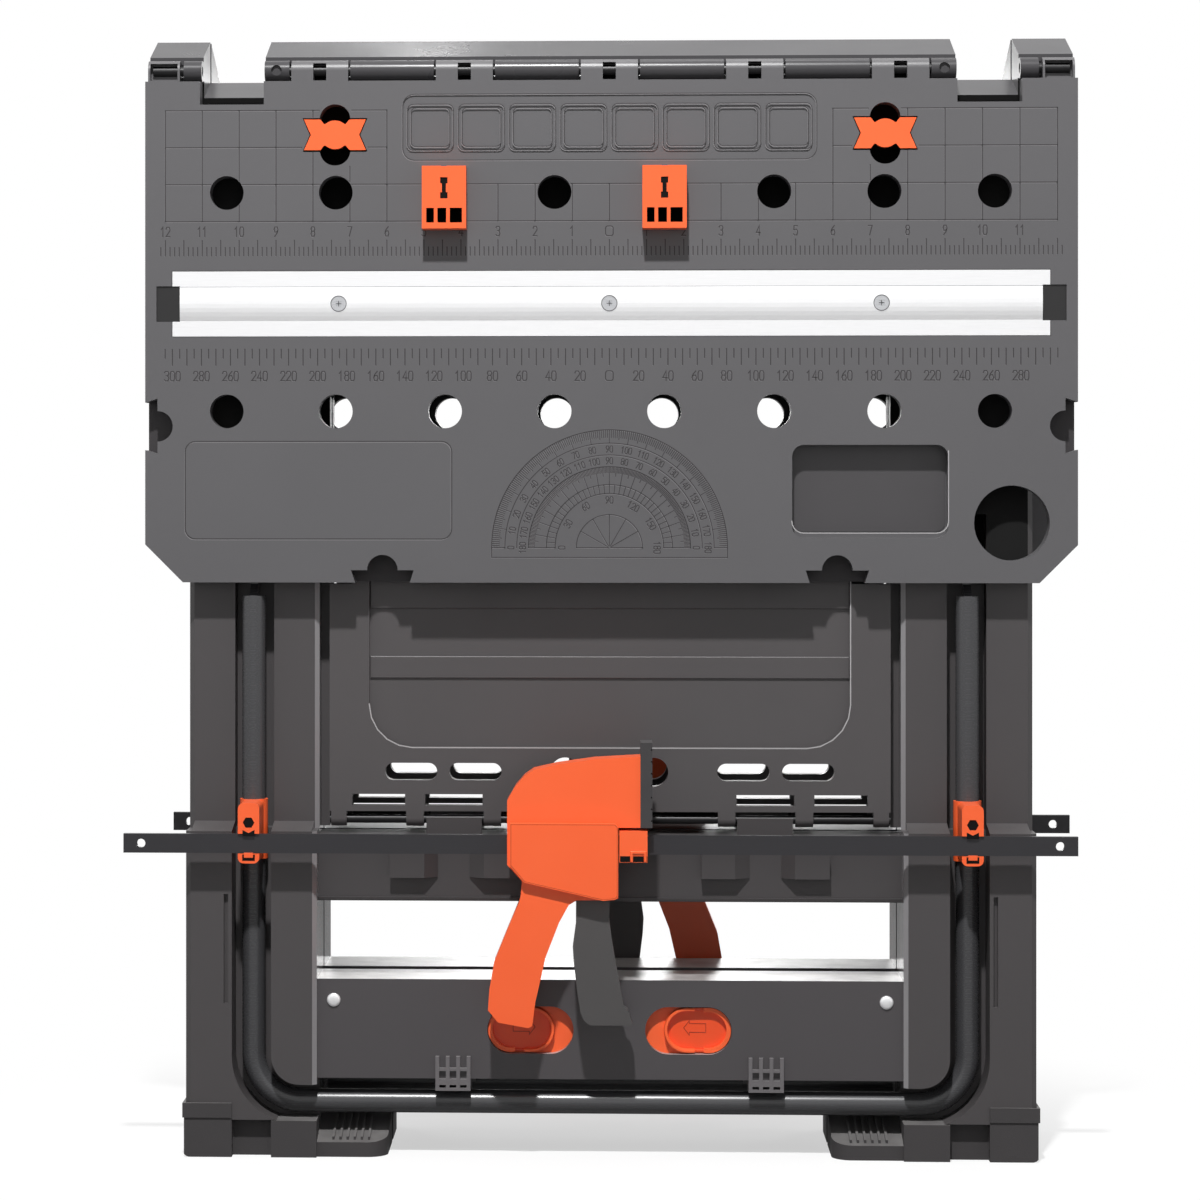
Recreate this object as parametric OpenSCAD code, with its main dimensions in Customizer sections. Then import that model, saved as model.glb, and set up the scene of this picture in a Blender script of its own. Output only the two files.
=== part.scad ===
// Folding workbench, folded and standing on its feet.
// Two equal halves hang on one ridge pin. The rear half is the front half turned by 180 degrees.
// X runs along the bench, the front half lies at negative Y, Z is up, the floor is Z = 0.
// Depths are measured outward from the plane between the halves.

/* [Bench] */
// Height of the ridge
bench_h = 771; // [760:1:785]
// Gap between the inner faces of the two halves
half_gap = 7; // [6:0.5:9]
// Depth of the top beam's lip, from the middle plane
lip_d = 45; // [44:0.5:47]
// Slope of the beam's top, level when its half leans out
top_slope = 20.7; // [16:0.1:22]

/* [Legs] */
// Distance from the middle to the inner side of a leg
leg_in = 200.3; // [192:0.1:202]
// Width of a leg
leg_w = 90; // [86:0.5:94]
// Depth of a leg's upper face
leg_d = 41; // [39:0.5:41.5]
// Depth of a leg's lower face
shin_d = 64.5; // [62:0.5:67]
// Height of the ledge between the two faces
ledge_z = 223; // [215:1:230]
// Width of the channel for the support tube
channel_w = 27; // [25:0.5:30]

/* [Cross members] */
// Height of the underside of the stretcher
stretcher_z = 53.5; // [52:0.5:56]
// Height of the stretcher itself
stretcher_h = 68; // [62:0.5:70]
// Depth of the stretcher's outer face
stretcher_d = 58; // [56:0.5:60]
// Height of the underside of the crossbeam
crossbeam_z = 174; // [170:1:176]
// Height of the crossbeam itself
crossbeam_h = 45; // [42:0.5:46]
// Depth of the crossbeam's outer face
crossbeam_d = 46; // [44:0.5:50]
// Height of the top beam
beam_h = 141; // [131:1:147]

/* [Feet] */
// Height of a foot
foot_h = 37; // [34:0.5:38]
// Height of the collar round a foot's top
collar_h = 10; // [6:0.5:12]
// Reach of the pedal pad from the leg
pedal_w = 48.3; // [44:0.1:52]

/* [Panel] */
// Width of the work panel
panel_w = 637.5; // [630:0.5:640]
// Height of the work panel below its hinge
panel_h = 344.5; // [340:0.5:348]
// Thickness of the work panel
panel_t = 16; // [15:0.5:17]
// Radius of a dog hole
dog_hole_r = 11.6; // [10:0.1:13]
// Distance between the two rows of dog holes
row_pitch = 150; // [146:0.5:152]
// Radius of the panel's hinge barrels
barrel_r = 7.2; // [6.8:0.1:7.4]
// Radius of the cup hole
cup_r = 25.7; // [20:0.1:28]

/* [Rail] */
// Height of the rail's flange
rail_h = 44.6; // [42:0.1:46]
// Height of the raised band of the rail
band_h = 22.6; // [20:0.1:25]
// Distance from the rail's end to the panel's edge
rail_end = 18.8; // [18:0.1:24]

/* [Support tube] */
// Radius of the tube
tube_r = 8; // [7:0.1:8.2]
// Distance from a leg's inner side to the tube's upright run
tube_in = 44.7; // [44:0.1:46]
// Height of the tube's bottom run
tube_z = 36; // [35:0.5:38]
// Radius of the tube's bends
bend_r = 33; // [28:0.5:36]
// Drop from the ridge to the tube's pivot
pivot_drop = 368; // [365:0.5:371]

/* [Shelf] */
// Gap between the shelf and a leg
shelf_gap = 6.8; // [6.5:0.1:9]
// Length of a shelf half from its rod to its tip
shelf_len = 207; // [203:0.5:208]
// Thickness of a shelf half
shelf_t = 10; // [9:0.5:11]
// Height of the shelf rod
rod_z = 229; // [228:0.5:231]

/* [Clamp] */
// Length of the clamp bar
bar_len = 646.5; // [600:0.5:650]
// Height of the clamp bar
bar_h = 13; // [12:0.1:14]
// Thickness of the clamp bar
bar_t = 4.5; // [4:0.1:5]
// Height of the middle of the clamp bar
bar_z = 216.4; // [214:0.1:218]
// Thickness of the clamp body
head_t = 24; // [22:0.5:26]

/* [Hidden] */
$fn = 48;

// Overrun of cuts, clearance beside moving parts, and clearance of a pin in its bore
over = 1;
clear = 0.4;
run_fit = 0.08;
wall = 4;

// Places that follow from the bench's own sizes
face = half_gap / 2;
ridge_drop = 7;
ridge_z = bench_h - ridge_drop;
ridge_r = 4;
knuckle_r = 6.5;
knuckles = 10;
beam_d = leg_d + 0.5 * (lip_d - leg_d) - 1.5;
dog_pitch = panel_w / 8.5;
beam_half = 3.16 * dog_pitch;
notch_x = [3.16, 3.7467] * dog_pitch;
cradle_out = notch_x[1] - over;
block_out = panel_w / 2 - 2 * over + 2 * clear / 3;
tube_x = leg_in + tube_in;
shelf_w = 2 * (leg_in - shelf_gap);
pedal_in = leg_in - pedal_w;
rail_w = panel_w - 2 * rail_end;
leg_out = leg_in + leg_w;
leg_top = bench_h - 56;
beam_z = bench_h - beam_h;
pivot_z = bench_h - pivot_drop;
hinge_drop = 26;
hinge_z = bench_h - hinge_drop;
hinge_d = 51;
hinge_pin_r = 3.5;
panel_front = hinge_d + panel_t / 2;
panel_back = hinge_d - panel_t / 2;
panel_top = hinge_z - barrel_r - 0.2 * wall + clear;
panel_low = hinge_z - barrel_r - panel_h;
channel_in = tube_x - channel_w / 2;
channel_out = tube_x + channel_w / 2;
tube_d = 46;
pivot_d = 34;
pivot_r = 4;

// A block between ranges of X, outward depth and height
module block(x, d, z)
    translate([x[0], -d[1], z[0]]) cube([x[1] - x[0], d[1] - d[0], z[1] - z[0]]);

// An outline in X and Z, extruded outward between two depths
module outward(d)
    translate([0, -d[0], 0]) rotate([90, 0, 0]) linear_extrude(d[1] - d[0]) children();

// An outline in minus depth and Z, extruded along X
module along(x)
    translate([x[0], 0, 0]) rotate([90, 0, 90]) linear_extrude(x[1] - x[0]) children();

// A round bar along X
module bar_x(x, d, z, r) translate([x[0], -d, z]) rotate([0, 90, 0]) cylinder(r = r, h = x[1] - x[0]);

// A round bar pointing outward
module bar_d(x, d, z, r) translate([x, -d[0], z]) rotate([90, 0, 0]) cylinder(r = r, h = d[1] - d[0]);

// A rounded rectangle about its own centre
module rounded(w, h, r) {
    square([w - 2 * r, h], center = true);
    square([w, h - 2 * r], center = true);
    for (sx = [-1, 1], sz = [-1, 1]) translate([sx * (w / 2 - r), sz * (h / 2 - r)]) circle(r);
}

module both_sides() {
    children();
    mirror([1, 0, 0]) children();
}

module both_sides_of(x) {
    children();
    translate([2 * x, 0, 0]) mirror([1, 0, 0]) children();
}

module turned() rotate([0, 0, 180]) children();

// Leg: moulded, thicker below the ledge, with a channel in its face and pockets in its inner side
leg_low = 8;
ledge_rise = 5;
bevel = 3.5;
channel_floor = 24;
shin_floor = 36;
channel_top = pivot_z + 37;
pin_seat = 8;
inner_bevel = 3;
flange_w = 5.8;
flange_d = 20;
pocket_d = 20;
pocket_low = [[48, 112], [124, 210]];
pocket_high = [[0.01, 0.2], [0.23, 0.33], [0.45, 0.67], [0.7, 0.97]];
ledge_top = ledge_z + ledge_rise;
pocket_z = concat(pocket_low, [for (p = pocket_high) [ledge_top, ledge_top] + p * (leg_top - ledge_top)]);
slot_x = tube_x + 16;
slot_w = 3;
slot_z = [105, 180];

// Plan of a leg down to a depth, its outer front edge bevelled
module leg_plan(d, top) translate([0, 0, leg_low]) linear_extrude(top - leg_low) polygon([
    [leg_in, -face], [leg_out, -face], [leg_out, bevel - d], [leg_out - bevel, -d],
    [leg_in + inner_bevel, -d], [leg_in, inner_bevel - d]]);

// Outline of the channel round the tube's bend and bottom run
module bend_outline() {
    translate([tube_x - bend_r, tube_z + bend_r]) difference() {
        intersection() {
            circle(bend_r + channel_w / 2);
            translate([0, -2 * bend_r]) square(2 * bend_r);
        }
        circle(bend_r - channel_w / 2);
    }
    translate([leg_in - over, tube_z - channel_w / 2])
        square([tube_x - bend_r - leg_in + 1.01 * over, channel_w]);
}

module right_leg() color("#4b4848") difference() {
    union() {
        leg_plan(leg_d, leg_top);
        leg_plan(shin_d, ledge_z);
        block([leg_in - flange_w, leg_in + over], [face, flange_d], [ledge_z, beam_z - clear]);
        along([leg_in + inner_bevel + clear, leg_out - bevel - clear]) polygon([
            [-leg_d + over, ledge_top], [-leg_d, ledge_top], [-shin_d, ledge_z],
            [-shin_d, ledge_z - over], [-leg_d + over, ledge_z - over]]);
    }
    block([channel_in, channel_out], [channel_floor, shin_d + over], [ledge_z, channel_top]);
    block([channel_in, channel_out], [shin_floor, shin_d + over], [tube_z + bend_r, ledge_z + over]);
    outward([shin_floor, shin_d + over]) bend_outline();
    block([leg_in - over, channel_out], [shin_floor, shin_d + over], [0, run_clear_z + clear]);
    bar_x([channel_in - pin_seat, channel_out + pin_seat], pivot_d, pivot_z, pivot_r + run_fit);
    for (z = pocket_z)
        block([leg_in + wall, leg_out - wall], [face - over, pocket_d], z);
    block([slot_x, slot_x + slot_w], [shin_d - wall, shin_d + over], slot_z);
}

// Top beam: sloped top, lumber cradles at both ends, hinge barrels for the panel and the ridge
lip_z = hinge_z - barrel_r + 1.2;
front_top = bench_h - (lip_d - face) * tan(top_slope);
cradle_front = front_top - 27.6;
tab_w = 39;
tab_pitch = 1.324 * dog_pitch;
rod_half = beam_half - 5 * over;
knuckle_w = 12.4;
end_in = [23.7, 1.9];
end_knuckle = [cradle_out, cradle_out + knuckle_w];
end_tab = [panel_w / 2, panel_w / 2] - end_in;
end_pin = [cradle_out + over, end_tab[1] - 3 * over];
tab_gap = 1.5;
stud_x = beam_half - 8.6 * over;
stud_r = 3.6;
seg_w = 2 * (beam_half - 2) / knuckles;

// Tops as outlines in minus depth and height
module beam_top_outline(low) polygon([
    [-face, low], [-beam_d, low], [-beam_d, lip_z], [-lip_d, lip_z], [-lip_d, front_top], [-face, bench_h]]);

module top_beam() color("#5a5757") difference() {
    union() {
        block([-leg_in, leg_in], [face, beam_d], [beam_z, leg_top]);
        along([-beam_half, beam_half]) beam_top_outline(leg_top);
        both_sides() {
            along([beam_half - over, cradle_out])
                polygon([[-face, leg_top], [-beam_d, leg_top], [-beam_d, cradle_front - wall],
                    [-panel_back + clear, cradle_front - wall], [-panel_back + clear, cradle_front],
                    [-face, cradle_front + (panel_back - clear - face) * tan(top_slope)]]);
            along([cradle_out, block_out]) beam_top_outline(leg_top);
            bar_x(end_knuckle, hinge_d, hinge_z, barrel_r);
            block(end_knuckle, [lip_d - over, hinge_d], [lip_z, hinge_z + barrel_r]);
        }
        for (k = [-2:2]) both_sides() if (k < 2) {
            x = [k * tab_pitch + tab_w / 2 + tab_gap, (k + 1) * tab_pitch - tab_w / 2 - tab_gap];
            bar_x(x, hinge_d, hinge_z, barrel_r);
            block(x, [lip_d - over, hinge_d], [lip_z, hinge_z + barrel_r]);
        }
        both_sides() {
            x = [2 * tab_pitch + tab_w / 2 + tab_gap, beam_half - clear];
            bar_x(x, hinge_d, hinge_z, barrel_r);
            block(x, [lip_d - over, hinge_d], [lip_z, hinge_z + barrel_r]);
        }
        for (k = [0:2:knuckles - 1])
            bar_x([k * seg_w - beam_half + 2 + clear, (k + 1) * seg_w - beam_half + 2 - clear],
                0, ridge_z, knuckle_r);
    }
    for (k = [1:2:knuckles - 1])
        bar_x([k * seg_w - beam_half + 2 - clear, (k + 1) * seg_w - beam_half + 2 + clear],
            0, ridge_z, knuckle_r + 2 * clear);
    bar_x([over - beam_half, beam_half - over], 0, ridge_z, ridge_r + run_fit);
    for (k = [-2:2])
        bar_x([k * tab_pitch - tab_w / 2 - tab_gap, k * tab_pitch + tab_w / 2 + tab_gap],
            hinge_d, hinge_z, barrel_r + 2 * clear);
    both_sides() {
        bar_x([end_tab[0] - tab_gap, block_out + over], hinge_d, hinge_z, barrel_r + 2 * clear);
        bar_d(stud_x, [hinge_d + hinge_pin_r + over, hinge_d + 2 * barrel_r], hinge_z, stud_r);
    }
    bar_x([-beam_half - over, beam_half + over], hinge_d, hinge_z, hinge_pin_r + run_fit);
    both_sides() bar_x([end_pin[0] - over, end_pin[1]], hinge_d, hinge_z, hinge_pin_r + run_fit);
    for (k = [-4:3])
        block([k * leg_in / 4 + wall / 2, (k + 1) * leg_in / 4 - wall / 2], [face - over, beam_d - wall],
            [beam_z + wall, leg_top]);
}

// Crossbeam: ribbed behind, hook blocks on its face, box brackets for the shelf rod
hook_x = [[63, 86, 96], [118, 127, 150.7]];
bracket_share = [0.2279, 0.3266];
hook_z = [190.4, 207.6];
hook_t = 8;
lip_h = 2.6;
lip_out = 1.5;
bracket_x = bracket_share * shelf_w;
shelf_d = 31;
rod_r = 3;
rod_wrap = 5;
bracket_t = 5;
bracket_rise = 1.2;

module crossbeam() color("#524f4f") difference() {
    union() {
        block([-leg_in, leg_in], [face, crossbeam_d], [crossbeam_z, crossbeam_z + crossbeam_h]);
        block([-leg_in, leg_in], [crossbeam_d - over, crossbeam_d + lip_out],
            [crossbeam_z, crossbeam_z + lip_h]);
        both_sides() {
            translate([0, 0, hook_z[0]]) linear_extrude(hook_z[1] - hook_z[0]) {
                polygon([[hook_x[0][0], over - crossbeam_d], [hook_x[0][0], -crossbeam_d - hook_t],
                    [hook_x[0][1], -crossbeam_d - hook_t], [hook_x[0][2], -crossbeam_d - over],
                    [hook_x[0][2], over - crossbeam_d]]);
                polygon([[hook_x[1][2], over - crossbeam_d], [hook_x[1][2], -crossbeam_d - hook_t],
                    [hook_x[1][1], -crossbeam_d - hook_t], [hook_x[1][0], -crossbeam_d - over],
                    [hook_x[1][0], over - crossbeam_d]]);
            }
            block(bracket_x, [shelf_d - bracket_t, shelf_d + bracket_t],
                [crossbeam_z + crossbeam_h - over, rod_z + bracket_rise]);
        }
    }
    bar_x([-leg_in, leg_in], shelf_d, rod_z, rod_r + run_fit);
    for (k = [-4:3])
        block([k * leg_in / 4 + wall / 2, (k + 1) * leg_in / 4 - wall / 2],
            [face - over, crossbeam_d - wall],
            [crossbeam_z + wall, crossbeam_z + crossbeam_h - wall]);
}

// Stretcher: two oval latch windows, guides for the latch slides, ribs behind
window_x = 54;
window_w = 59;
window_h = 32.4;
window_z = 87;
front_wall = 6;
slide_t = 3;
slide_w = 80;
slide_h = 40;
latch_travel = 10;
hole_r = 4.5;
hole_x = leg_in - 11.3;
hole_z = 107;
stretcher_top = stretcher_z + stretcher_h;

module oval() rounded(window_w, window_h, window_h / 2 - 0.2);

module stretcher() color("#5a5757") difference() {
    block([-leg_in, leg_in], [face + wall, stretcher_d], [stretcher_z, stretcher_top]);
    both_sides() {
        translate([window_x, 0, window_z]) outward([stretcher_d - front_wall - over, stretcher_d + over])
            oval();
        block([window_x - slide_w / 2 - latch_travel - clear, window_x + slide_w / 2 + clear],
            [stretcher_d - front_wall - slide_t - clear, stretcher_d - front_wall],
            [window_z - slide_h / 2 - clear, window_z + slide_h / 2 + clear]);
        bar_d(hole_x, [0, stretcher_d + over], hole_z, hole_r);
    }
    for (k = [-3:2])
        block([k * leg_in / 3.5 + wall / 2, (k + 1) * leg_in / 3.5 - wall / 2],
            [face, stretcher_d - front_wall - slide_t - clear - wall],
            [stretcher_z + wall, stretcher_top - wall]);
}

// Latch slide: flat slide behind the window, finger cup with a raised arc rim
latch_cup_r = 15.5;
latch_rim = 3;
latch_cup_h = 3.6;

module latch_right() color("#ff6b35") difference() {
    union() {
        block([window_x - slide_w / 2, window_x + slide_w / 2],
            [stretcher_d - front_wall - slide_t, stretcher_d - front_wall - clear / 2],
            [window_z - slide_h / 2, window_z + slide_h / 2]);
        bar_d(window_x + window_w / 2 - latch_cup_r - clear,
            [stretcher_d - front_wall - slide_t, stretcher_d - front_wall + latch_cup_h],
            window_z, latch_cup_r);
    }
    bar_d(window_x + window_w / 2 - latch_cup_r - clear,
        [stretcher_d - front_wall - clear, stretcher_d + over], window_z, latch_cup_r - latch_rim);
    block([window_x - window_w / 2, window_x + window_w / 2 - latch_cup_r - clear - latch_rim],
        [stretcher_d - front_wall - clear / 2, stretcher_d + over],
        [window_z - slide_h / 2, window_z + slide_h / 2]);
}

// Foot: rubber cup with two bulges, a collar band and a ribbed pedal pad
foot_grow = 1;
foot_round = 5;
pedal_round = 14;
pedal_front = 10;
pedal_back = 25;
pedal_d = [face + 1, 62];
pedal_rib = 1.6;
pedal_pitch = 4.9;
pedal_x = pedal_in + 11.9;
pedal_ribs = 6;
recess_d = 34;
run_clear_z = tube_z - tube_r - 3;

module foot_outline() translate([leg_out + 2 * foot_grow - shin_d, shin_d])
    rounded(2 * shin_d, 2 * shin_d, foot_round);

module pedal() intersection() {
    along([pedal_in, leg_in + over])
        polygon([[-pedal_d[0], 0], [-pedal_d[1], 0], [-pedal_d[1], pedal_front],
            [-pedal_d[0], pedal_back]]);
    linear_extrude(2 * pedal_back) translate([pedal_in + shin_d, shin_d - pedal_d[1]])
        rounded(2 * shin_d, 2 * shin_d, pedal_round);
}

module right_foot() difference() {
    union() {
        block([leg_in, channel_in], [face, recess_d], [0, foot_h]);
        block([leg_in, channel_in], [face, shin_d + foot_grow], [0, run_clear_z]);
        block([channel_in, channel_out], [face, recess_d], [0, foot_h]);
        block([channel_in, channel_out], [face, shin_d - 2 * wall], [0, run_clear_z]);
        intersection() {
            block([channel_out, leg_out + foot_grow], [face, shin_d + foot_grow], [0, foot_h]);
            outward([0, 2 * shin_d]) foot_outline();
        }
        block([channel_out, leg_out + 2 * foot_grow], [face, shin_d + 2 * foot_grow],
            [foot_h - collar_h, foot_h]);
        pedal();
        for (k = [0:pedal_ribs - 1])
            along([pedal_x + k * pedal_pitch, pedal_x + k * pedal_pitch + pedal_rib])
                polygon([[-pedal_d[0] - wall, 0], [-pedal_d[1] + wall, 0],
                    [-pedal_d[1] + wall, pedal_front + 2 * pedal_rib],
                    [-pedal_d[0] - wall, pedal_back]]);
    }
    block([leg_in - clear / 4, leg_out + clear / 4], [face - over, leg_d], [leg_low, foot_h + over]);
    block([leg_in - clear / 4, channel_in], [face - over, shin_floor], [leg_low, foot_h + over]);
    block([channel_out, leg_out + clear / 4], [face - over, shin_d], [leg_low, foot_h + over]);
}

module feet() color("#3b3838") both_sides() right_foot();

// Clips under the stretcher that the tube's bottom run snaps into
clip_x = 107;
clip_w = 24;
fin_w = 2.6;
fins = 4;
clip_gap = 1.5;
fin_top = 69;
fin_d = 61;
fin_bar = 2;
fin_bar_z = 59;

module tube_clips() color("#5a5757") both_sides() difference() {
    union() {
        for (k = [0:fins - 1])
            block([clip_x - clip_w / 2 + k * (clip_w - fin_w) / (fins - 1),
                clip_x - clip_w / 2 + k * (clip_w - fin_w) / (fins - 1) + fin_w],
                [tube_d - tube_r - wall, tube_d + tube_r + wall / 2],
                [tube_z, stretcher_z]);
        block([clip_x - clip_w / 2, clip_x + clip_w / 2],
            [tube_d - tube_r - wall, fin_d], [stretcher_z - wall, stretcher_z]);
        for (k = [0:fins - 1])
            block([clip_x - clip_w / 2 + k * (clip_w - fin_w) / (fins - 1),
                clip_x - clip_w / 2 + k * (clip_w - fin_w) / (fins - 1) + fin_w],
                [stretcher_d, fin_d], [tube_z + tube_r + clip_gap, fin_top]);
        block([clip_x - clip_w / 2, clip_x + clip_w / 2], [stretcher_d, fin_d - clear],
            [fin_bar_z, fin_bar_z + fin_bar]);
        block([clip_x - clip_w / 2, clip_x + clip_w / 2], [tube_d, fin_d],
            [tube_z + tube_r + clip_gap, tube_z + tube_r + clip_gap + fin_bar]);
        block([clip_x - clip_w / 2, clip_x + clip_w / 2],
            [tube_d - tube_r - wall, tube_d - tube_r - wall / 2], [tube_z, stretcher_z]);
    }
    bar_x([clip_x - clip_w, clip_x + clip_w], tube_d, tube_z, tube_r + clear / 2);
    block([clip_x - clip_w, clip_x + clip_w], [tube_d, tube_d + 2 * tube_r],
        [0, tube_z + tube_r + clip_gap]);
}

module panel_pin() color("silver") {
    bar_x([-rod_half, rod_half], hinge_d, hinge_z, hinge_pin_r);
    both_sides() bar_x(end_pin, hinge_d, hinge_z, hinge_pin_r);
}

module pivot_pins() color("silver") both_sides()
    bar_x([channel_in - pin_seat + clear, channel_out + pin_seat - clear], pivot_d, pivot_z, pivot_r);

module ridge_pin() color("silver")
    bar_x([over - beam_half + wall, beam_half - wall - over], 0, ridge_z, ridge_r);

// Shelf half: tray with a rounded basin, slots, hinge rib pairs and interleaving tip fingers
shelf_low = rod_z + 5.6;
shelf_tip = rod_z + shelf_len;
finger_len = 44;
finger_w = 0.0672 * shelf_w;
finger_pitch = 0.155 * shelf_w;
finger_x = 0.03875 * shelf_w;
basin_w = shelf_w - 55 * over;
basin_z = [279, 428];
basin_r = 30;
basin_depth = 5;
tray_slot_w = 36;
tray_slot_h = 12;
tray_slot_x = [0.239, 0.354] * shelf_w;
tray_slot_z = 262;
tray_hole_r = 10;
tray_hole_x = 30.6;
rib_shares = [[0.1935, 0.2243], [0.3315, 0.3628], [0.4698, 0.4972]];
shelf_rib_x = rib_shares * shelf_w;
sill_shares = [[0.2264, 0.3295], [0.3649, 0.46]];
sill_x = sill_shares * shelf_w;
sill_rise = [9.6, 17.4];
sill_z = [rod_z, rod_z] + sill_rise;
shelf_out = shelf_d + shelf_t / 2;
shelf_in = shelf_d - shelf_t / 2;

module shelf() color("#5a5757") difference() {
    union() {
        block([-shelf_w / 2, shelf_w / 2], [shelf_in, shelf_out], [shelf_low, shelf_tip - finger_len]);
        for (k = [-3:2]) {
            x = finger_x + k * finger_pitch;
            block([x - finger_w / 2, x + finger_w / 2], [shelf_in, shelf_out],
                [shelf_tip - finger_len - over, shelf_tip]);
        }
        both_sides() for (x = shelf_rib_x) {
            bar_x(x, shelf_d, rod_z, rod_wrap);
            block(x, [shelf_in, shelf_out], [rod_z, shelf_low + over]);
        }
    }
    bar_x([-shelf_w / 2, shelf_w / 2], shelf_d, rod_z, rod_r + run_fit);
    translate([0, 0, (basin_z[0] + basin_z[1]) / 2]) outward([shelf_out - basin_depth, shelf_out + over])
        rounded(basin_w, basin_z[1] - basin_z[0], basin_r);
    both_sides() {
        for (x = tray_slot_x)
            translate([x, 0, tray_slot_z]) outward([0, shelf_out + over])
                rounded(tray_slot_w, tray_slot_h, tray_slot_h / 2 - clear / 4);
        for (x = sill_x) block(x, [0, shelf_out + over], sill_z);
        bar_d(tray_hole_x, [0, shelf_out + over], tray_slot_z, tray_hole_r);
    }
}

module shelf_rod() color("silver") bar_x([-shelf_w / 2, shelf_w / 2], shelf_d, rod_z, rod_r);

// Work panel: skin with rim and ribs behind, dog holes, recesses, sockets and hinge tabs
corner_cut = 26;
row_drop = 76.7;
row_z = [panel_top - row_drop, panel_top - row_drop - row_pitch];
hole_share = [0.5, 1.5, 2.5, 3.5];
skin = 5;
rib = 3;
boss_r = 15;
rail_drop = 152.9;
rail_z = panel_top - rail_drop;
rail_seat = 3.2;
band_cap_h = 24.4;
cap_in = [23.85, 7.75];
cap_x = [panel_w / 2, panel_w / 2] - cap_in;
cap_seat = 8;
notch_h = 16;
edge_notch_z = panel_top - 236.9;
edge_notch_w = 38;
low_notch_x = 2.0733 * dog_pitch;
low_notch_w = 43;
notch_step = 8.5;
notch_taper = 3;
notch_r = 10.5;
socket_pitch = 0.46667 * dog_pitch;
socket_w = 0.9 * socket_pitch;
socket_z = panel_top - 32.1;
socket_depth = 1.2;
socket_r = 4;
frame_w = 3.7733 * dog_pitch;
frame_h = 45.2;
frame_depth = 0.8;
tray_x = [1.6627, 3.0773] * dog_pitch;
tray_z = [panel_top - 313.4, panel_top - 249.8];
tray_r = 8;
tray_depth = 13.5;
cup_x = 3.6533 * dog_pitch;
cup_z = panel_top - 303.2;
dog_x = 2.5067 * dog_pitch;
dog_z = panel_top - 37.1;
stadium_w = 21;
stadium_h = 42;
bow_w = 42.5;
bow_h = 21;
bow_disc_r = 9.8;
wing_share = [[0, -0.7], [0.35, -0.7], [0.47, -1], [1, -1], [0.78, 0], [1, 1], [0.47, 1], [0.35, 0.7],
    [0, 0.7]];
bow_t = 4;
recess_gap = 1;
window_tab = [9, 12];
pocket_drops = [[111.4, 44.4], [243.4, 192.4], [339.4, 264.4]];
pocket_rows = [for (p = pocket_drops) [panel_top, panel_top] - p];
pocket_cols = [[-4, -3], [-3, -2], [-2, -1], [-1, 0], [0, 1], [1, 2], [2, 3], [3, 4]];

module panel_outline() polygon([
    [-panel_w / 2, panel_low + corner_cut], [-panel_w / 2 + corner_cut, panel_low],
    [panel_w / 2 - corner_cut, panel_low], [panel_w / 2, panel_low + corner_cut],
    [panel_w / 2, panel_top], [-panel_w / 2, panel_top]]);

// Bow-tie outline, grown by a gap
module bow(grow) {
    for (s = [-1, 1])
        polygon([for (p = wing_share) [s * p[0] * (bow_w / 2 + grow), p[1] * (bow_h / 2 + grow)]]);
    circle(bow_disc_r + grow);
}

// Clamp notch: a half-round above a step that narrows towards the edge
module notch(w) {
    translate([0, notch_step]) circle(notch_r);
    polygon([[notch_taper - w / 2, -over], [w / 2 - notch_taper, -over], [w / 2, notch_step],
        [-w / 2, notch_step]]);
}

module pocket(col, z) {
    x = [col[0] * dog_pitch + rib / 2, col[1] * dog_pitch - rib / 2];
    lim = panel_w / 2 - wall;
    block([max(x[0], -lim), min(x[1], lim)], [panel_back - over, panel_front - skin], z);
}

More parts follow.
